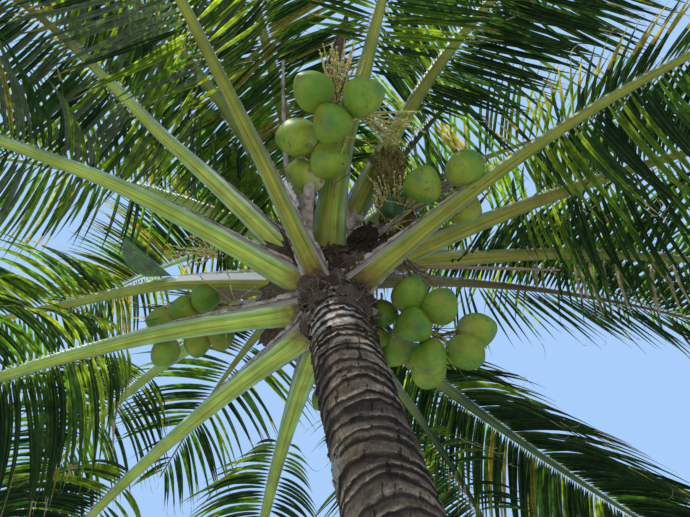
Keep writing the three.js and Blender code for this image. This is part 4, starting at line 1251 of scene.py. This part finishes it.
TWIGS = 34
TWIG_REACH = 0.34
DRY_TWIGS = 0.45


def wavy_path(place, way, rows, step, wave, beat, droop, stray):
    """A path that zigzags as it goes, droops and strays."""
    swing = rng.normal(0, 1, 3)
    path = []
    for i in range(rows):
        path.append(place)
        zigzag = wave * np.sin(i * beat + swing[0]) * unit(np.cross(way, swing))
        way = unit(way + np.array([0, 0, -droop]) + stray * rng.normal(0, 1, 3))
        place = place + unit(way + zigzag) * step
    return np.array(path)


def add_twig(skins, path, thick, thin, kind, beaded, tries, share):
    """A twig along a path. A green one, kind 0, may have beads at each station from beaded on."""
    skins.add(tube(path, np.linspace(thick, thin, len(path)), 5), kind, closed=True)
    if kind == 0:
        for middle in path[beaded:]:
            for _ in range(tries):
                if rng.random() < share:
                    add_button(skins, middle, rng.uniform(0.004, 0.0085))


def make_twigs(skins, curve):
    """Thin wavy twigs off the outer part of a bunch's stalk, some with small buttons on them."""
    onward = unit(curve[2] - curve[1])
    rows = 12
    for _ in range(TWIGS):
        start = along_curve(curve, rng.uniform(0.42, 0.98))
        way = unit(onward * 0.9 + rng.normal(0, 0.75, 3) + np.array([0, 0, 0.25]))
        step = TWIG_REACH * rng.uniform(0.6, 1.15) / rows
        path = wavy_path(start, way, rows, step, 0.30, 2.4, 0.045, 0.06)
        kind = 1 if rng.random() < DRY_TWIGS else 0
        add_twig(skins, path, 0.0042, 0.0016, kind, 2, 1, 0.35)


def make_brooms(skins):
    """Flower twigs in brooms, beaded with buttons, and dry ones that have lost them."""
    rows = 14
    for kind, thick, brooms in ((0, 0.0050, BROOMS), (1, 0.0036, DRY_BROOMS)):
        for root, heading, count, reach, spread in brooms:
            for _ in range(count):
                start = np.array(root) + rng.normal(0, 0.015, 3)
                way = unit(unit(np.array(heading)) + rng.normal(0, spread, 3))
                step = reach * rng.uniform(0.55, 1.15) / rows
                path = wavy_path(start, way, rows, step, 0.38, 2.6, 0.03, 0.07)
                add_twig(skins, path, thick, thick * 0.5, kind, 3, 2, 0.7)


def make_dead_stalks(skins):
    for places, thick, thin, kind in DEAD_STALKS:
        places = np.array(places)
        t = np.linspace(0, 1, 40)
        knots = np.linspace(0, 1, len(places))
        path = np.stack([np.interp(t, knots, places[:, i]) for i in range(3)], -1)
        for _ in range(12):
            inner = 0.25 * path[:-2] + 0.5 * path[1:-1] + 0.25 * path[2:]
            path = np.vstack([path[:1], inner, path[-1:]])
        radius = thick + (thin - thick) * t ** 0.6
        radius = radius * (1 + 0.22 * value_noise(t * 26, thick * 900, 71))
        skins.add(tube(path, radius, 9), kind, closed=True)


def add_button(skins, middle, radius):
    v = np.linspace(0.04, 0.96, 5)[:, None]
    ball = np.sin(np.pi * v)[..., None] * outward(np.arange(6) * np.pi / 3)
    ball[..., 2] = -np.cos(np.pi * v)
    skins.add(middle + radius * ball + rng.normal(0, 0.004, 3), 0, closed=True)


# Spathes and spear


def make_spathe(name, turn, foot, rise, droop, length):
    line = Line(turn, foot, rise, droop, 0, 0, length)
    rows, columns = 60, 15
    t = np.linspace(0, 1, rows)[:, None]
    angle = np.linspace(0, np.pi, columns)
    swell = np.sin(np.pi * np.clip(0.12 + 0.88 * t, 0, 0.999)) ** 0.8
    groove = 1 + 0.05 * np.cos(angle * 16) + 0.03 * value_noise(t * 14, angle * 4, 31)
    roll, gape, swing = SPATHE_LOOKS[name]
    wide = (0.010 + 0.046 * swell) * np.cos(angle) * groove * gape
    deep = -(0.010 + 0.054 * swell) * np.sin(angle) ** 0.8 * groove
    eased = rising(t, 0, 1 / 3)
    roll = np.radians(roll) * eased

    def shell(x, y):
        aside = swing * rising(t, 0.68, 1) ** 1.2 + x * np.cos(roll) - y * np.sin(roll)
        shift = np.array(SPATHES_ASIDE.get(name, (0, 0, 0))) * eased[..., None]
        return line.beside(t, aside, x * np.sin(roll) + y * np.cos(roll)) + shift

    outer, inner = shell(wide, deep), shell(wide * 0.90, deep * 0.84 + 0.0015)
    skins = Skins()
    skins.add(outer[:, ::-1], 0)
    skins.add(inner, 1)
    for edge_out, edge_in in ((outer[:, 0], inner[:, 0]), (inner[:, -1], outer[:, -1])):
        skins.add(np.stack([edge_out, edge_in], 1), 2)
    keep(skins.made(f"woody_spathe_{name}", [spathe_out, spathe_in, spathe_edge]), "spathe",
         f"spathe_{name}")


def make_spear():
    rows, sides = 60, 36
    share = np.linspace(0, 1, rows)[:, None]
    turn = np.arange(sides) * 2 * np.pi / sides
    radius = 0.034 * np.interp(share, [0, 0.18, 0.5, 0.8, 1], [0.6, 1, 0.8, 0.42, 0.03])
    pleat = 1 + 0.09 * np.cos(9 * turn + 3 * share)
    centre = stem_axis(TRUNK_TOP) + np.stack(
        [0.01 * np.sin(share * 4), 0 * share, 0.0003 + share * SPEAR_LENGTH], -1)
    skins = Skins()
    skins.add(centre + (radius * pleat)[..., None] * outward(turn), 0, closed=True)
    keep(skins.made("spear_leaf", [spear_skin]), "spear", "spear")


# Fibre about the feet of the fronds

# How large a stalk's matted sheet is on some sides, as a share of the usual.
SMALL_SHEETS = {(4, 1): 0.35, (5, -1): 0.45, (10, 1): 0.6, (10, -1): 0.6}


def make_sheaths(lines):
    """Matted sheets from the margins of each leaf stalk's foot to the stem, with ragged ends."""
    skins = Skins()
    a = np.linspace(0, 1, 26)[:, None]
    b = np.linspace(0, 1, 19)
    for number, line in enumerate(lines):
        for sign in (1, -1):
            size = SMALL_SHEETS.get((number + 1, sign), 1.0)
            t = 0.004 + 0.085 * a * rng.uniform(0.75, 1.15) * size
            margin = line.beside(t, sign * 0.49 * rib_width(t, number), 0.3 * rib_depth(t))
            height = np.minimum(line.foot + 0.015 + 0.30 * a * size, TRUNK_TOP - 0.05)
            azimuth = np.radians(line.turn + sign * (24 + 30 * a))
            stem = by_stem(height, azimuth, stem_radius(height) + 0.004)
            sheet = margin * (1 - b)[:, None] + stem * b[:, None]
            away = unit((sheet - stem_axis(sheet[..., 2])) * np.array([1, 1, 0]))
            bulge = 0.05 * np.sin(np.pi * b) * (0.3 + a)
            bulge = bulge + 0.022 * value_noise(a * 8 + number * 5, b * 7 + sign, 41)
            bulge = bulge + 0.010 * value_noise(a * 19 + number * 5, b * 17 + sign, 43)
            sheet = sheet + away * bulge[..., None]
            ragged = value_noise(number * 3.1, b * 14 + sign * 7, 42)
            sheet[-1] += line.at(0.1, "along") * (0.02 + 0.07 * ragged)[:, None]
            skins.add(sheet, number % 2)
    make_sheets(skins)
    piece = skins.made("fibre_sheaths", [fibre, fibre_dark, golden_net, old_stalk, painted_sunlit_white, hollow])
    keep(piece, "bark", "trunk")


# Loose sheets at the crown's middle: four corners in order round the edge, a material, how crumpled.
SHEETS = [
    ([(-0.585, -0.658, 5.988), (-0.395, -0.66, 6.074), (-0.307, -0.141, 5.737),
      (-0.535, -0.126, 5.646)], 2, 1.0),
    # Near-white: painted sunlight on a flake.
    ([(-1.127, -0.516, 5.745), (-1.084, -0.505, 5.741), (-1.013, -0.384, 5.633),
      (-1.067, -0.39, 5.635)], 4, 0.3),
    ([(-0.756, -0.39, 5.508), (-0.628, -0.373, 5.502), (-0.64, -0.305, 5.466),
      (-0.756, -0.24, 5.442)], 3, 0.6),
    # A dark sheet of painted shade in the hollow.
    ([(-0.721, -0.311, 5.468), (-0.593, -0.343, 5.48), (-0.548, -0.26, 5.418),
      (-0.71, -0.157, 5.381)], 5, 0.6),
    ([(-0.934, -0.261, 5.291), (-0.739, -0.272, 5.294), (-0.722, -0.182, 5.23),
      (-0.9, -0.177, 5.228)], 0, 0.7),
    ([(-1.012, -0.496, 5.653), (-0.911, -0.496, 5.653), (-0.938, -0.246, 5.498),
      (-0.997, -0.246, 5.498)], 3, 0.5),
    # Near-white: painted sunlight on a flake.
    ([(-1.053, -0.165, 5.277), (-1.008, -0.186, 5.285), (-0.977, -0.102, 5.19),
      (-1.015, -0.076, 5.181)], 4, 0.4),
]


def make_sheets(skins):
    down, across = np.linspace(0, 1, 30)[:, None], np.linspace(0, 1, 16)
    a, b = down[..., None], across[:, None]
    for number, (corners, kind, crumpled) in enumerate(SHEETS):
        first, second, third, fourth = np.array(corners)
        grid = (first * (1 - b) + second * b) * (1 - a) + (fourth * (1 - b) + third * b) * a
        seed = 81 + 4 * number
        crumple = 0.03 * value_noise(down * 7, across * 4, seed)
        crumple = crumple + 0.014 * value_noise(down * 19, across * 11, seed + 1)
        tear = 0.03 * value_noise(down * 23, np.round(across) * 3, seed + 2) * (2 * across - 1) ** 6
        fray = 0.05 * value_noise(np.round(down) * 3, across * 19, seed + 3) * (2 * down - 1) ** 8
        shift = (np.array([0.3, -0.3, -0.9]) * crumple[..., None]
                 + np.array([1.0, 0.2, 0]) * tear[..., None] + np.array([0, 1.0, 0]) * fray[..., None])
        skins.add(grid + crumpled * shift, kind)


OLD_BASES = 34
OLD_BASES_FROM = 4.70
OLD_BASES_REACH = 0.50
GOLDEN_ANGLE = 137.5


def make_old_bases():
    """Ragged brown stubs of fallen leaves, pressed to the top of the trunk."""
    skins = Skins()
    a, b = np.linspace(0, 1, 12)[:, None], np.linspace(-1, 1, 13)
    for k in range(OLD_BASES):
        share = k / (OLD_BASES - 1)
        height = OLD_BASES_FROM + OLD_BASES_REACH * share + rng.normal(0, 0.012)
        azimuth = k * math.radians(GOLDEN_ANGLE) + rng.normal(0, 0.15)
        half = rng.uniform(0.055, 0.085)
        length = rng.uniform(0.07, 0.13) * (0.7 + 0.5 * share)
        lean = math.radians(rng.uniform(12, 34) + 14 * share)
        torn = 1 - 0.35 * np.clip(value_noise(b * 5 + k * 3, k * 1.3, 61), 0, 1)
        reach = a * length * torn
        out = stem_radius(height) - 0.006 + reach * math.sin(lean) - 0.020 * b ** 2 * a
        out = out + 0.010 * np.sin(np.pi * a) + 0.005 * value_noise(a * 7 + k, b * 5, 62)
        turn = azimuth + b * half * (1 - 0.35 * a) / TRUNK_RADIUS
        grid = by_stem(height + reach * math.cos(lean), turn, out)
        thick = grid - outward(turn) * (0.012 * np.sqrt(a))[..., None]
        skins.add(grid, k % 3 == 0)
        skins.add(thick[:, ::-1], 1)
        skins.add(np.stack([grid[-1], thick[-1]], 1), 1)
    keep(skins.made("old_leaf_bases", [fibre, fibre_dark]), "bark", "trunk")


STRANDS = 900
STRAND_HEIGHTS = (4.78, 5.75)


def make_strands():
    """Loose fibres and thin dry strings about the feet of the fronds and the top of the trunk."""
    skins = Skins()
    rows = 9
    for _ in range(STRANDS):
        height = rng.uniform(*STRAND_HEIGHTS)
        azimuth = rng.uniform(0, 2 * np.pi)
        place = by_stem(height, azimuth, stem_radius(height) - 0.004)
        way = outward(azimuth) * rng.uniform(0.3, 1.0) + rng.normal(0, 0.6, 3)
        way = unit(way + [0, 0, rng.uniform(-0.6, 0.5)])
        length = rng.uniform(0.04, 0.17)
        path = []
        for _ in range(rows):
            path.append(place)
            way = unit(way + rng.normal(0, 0.20, 3) + [0, 0, -0.10])
            place = place + way * length / rows
        skins.add(tube(path, np.linspace(0.0016, 0.0006, rows), 3), rng.integers(0, 2), closed=True)
    make_dead_stalks(skins)
    keep(skins.made("loose_fibres", [twig_dry, papery, dead_stalk]), "bark", "trunk")


FLAKES = 900


def make_flakes():
    """Torn scraps of leaf base that stand out of the scar rings."""
    height = scar_height[rng.integers(2, len(scar_height) - 20, FLAKES)] + rng.normal(0, 0.01, FLAKES)
    kept = (height > 0.15) & (height < CROWN_BASE + 0.12)
    kept &= rng.random(FLAKES) < 0.35 + 0.65 * rising(height, 4.3, 4.7)
    height = height[kept]
    count = len(height)
    turn = rng.uniform(0, 2 * np.pi, count)
    size = rng.uniform(0.005, 0.015, count) * (1 + 1.2 * rising(height, 4.2, 4.9))
    width = rng.uniform(0.008, 0.030, count)
    rows, columns = 3, 4
    grid = np.empty((count, rows, columns, 3))
    for i, up in enumerate(np.linspace(0, 1, rows)):
        for j, across in enumerate(np.linspace(-0.5, 0.5, columns)):
            ragged = rng.uniform(0.5, 1.0, count) if i == rows - 1 else 1
            out = stem_radius(height) - 0.004 + size * up * ragged
            angle = turn + across * width / TRUNK_RADIUS
            grid[:, i, j] = by_stem(height - 0.6 * size * up ** 2, angle, out)
    skins = Skins()
    skins.add(grid, rng.integers(0, 2, (count, 1, 1)))
    keep(skins.made("bark_scraps", [fibre, fibre_dark]), "bark", "trunk")


make_trunk()
lines = [Line(*frond) for frond in FRONDS]
for number, aside in ASIDE.items():
    lines[number - 1].move_aside(*aside)
for number, line in enumerate(lines):
    make_rib(number, line)

# Which fronds share a piece of leaflets, as places in their table.
LAYERS = {"low": range(0, 9), "middle": range(9, 17), "high": range(17, 25)}
curls = Skins()
for name, members in LAYERS.items():
    leaflets = Skins()
    for number in members:
        for sign in (1, -1):
            make_leaflets(leaflets, curls, number, lines[number], sign)
    nodes = [node for number in members for node in frond_nodes(number)]
    keep(leaflets.made(f"leaflets_{name}", leaf_materials), "frond", *nodes)
every_frond = [node for number in range(len(FRONDS)) for node in frond_nodes(number)]
keep(curls.made("dry_leaf_tips", [leaf_materials[STRAW]]), "frond", *every_frond)

make_fan()

twigs = Skins()
for name, bunch in BUNCHES.items():
    curve = make_bunch(name, *bunch)
    make_twigs(twigs, curve)
make_brooms(twigs)
keep(twigs.made("fruit_twigs", [twig_green, twig_dry]), "nut", *[f"bunch_{name}" for name in BUNCHES])

for name, spathe in SPATHES.items():
    make_spathe(name, *spathe)
make_spear()
make_sheaths(lines)
make_old_bases()
make_strands()
make_flakes()

# Floor, light and camera

FLOOR_RINGS = (0.01, 1.0, 8.0, 60.0)
FLOOR_SIDES = 96
FLOOR_HEIGHT = -0.002
SKY = (0.40, 0.62, 0.97, 1)
SUN_STRENGTH = 8.0
SUN_WIDTH = 1.2
SUN_COLOUR = (1.0, 0.96, 0.88)
SUN_DIRECTION = (-0.34, -0.60, 0.72)
SENSOR_WIDTH = 36
# The camera's focal length as a share of the picture's width, its place, and how steeply it looks up.
FOCAL_SHARE = 698 / 690
CAMERA_PLACE = (-0.75, -1.524, 1.60)
CAMERA_PITCH = 70
CAMERA_REACH = 500


def make_floor():
    turn = np.arange(FLOOR_SIDES) * 2 * np.pi / FLOOR_SIDES
    points = np.array(FLOOR_RINGS)[:, None, None] * outward(turn) + np.array([0, 0, FLOOR_HEIGHT])
    skins = Skins()
    skins.add(points, 0, closed=True)
    shade = plain_material("studio_floor", (0.345, 0.34, 0.33), (0.375, 0.37, 0.36), 0.8, 0.9, 0.001)
    skins.made("floor", [shade])


make_floor()

world = bpy.data.worlds.new("studio")
bpy.context.scene.world = world
world.use_nodes = True
world.node_tree.nodes["Background"].inputs[0].default_value = SKY
world.node_tree.nodes["Background"].inputs[1].default_value = 1.0

sun = bpy.data.objects.new("key", bpy.data.lights.new("key", "SUN"))
sun.data.energy = SUN_STRENGTH
sun.data.angle = math.radians(SUN_WIDTH)
sun.data.color = SUN_COLOUR
sun.rotation_mode = "QUATERNION"
sun.rotation_quaternion = Vector(SUN_DIRECTION).to_track_quat("Z", "Y")
bpy.context.scene.collection.objects.link(sun)

bpy.context.scene.view_settings.view_transform = "Standard"

camera = bpy.data.objects.new("camera", bpy.data.cameras.new("camera"))
camera.data.sensor_width = SENSOR_WIDTH
camera.data.lens = SENSOR_WIDTH * FOCAL_SHARE
camera.location = CAMERA_PLACE
camera.rotation_euler = (math.radians(90 + CAMERA_PITCH), 0, 0)
camera.data.clip_end = CAMERA_REACH
bpy.context.scene.collection.objects.link(camera)
bpy.context.scene.camera = camera
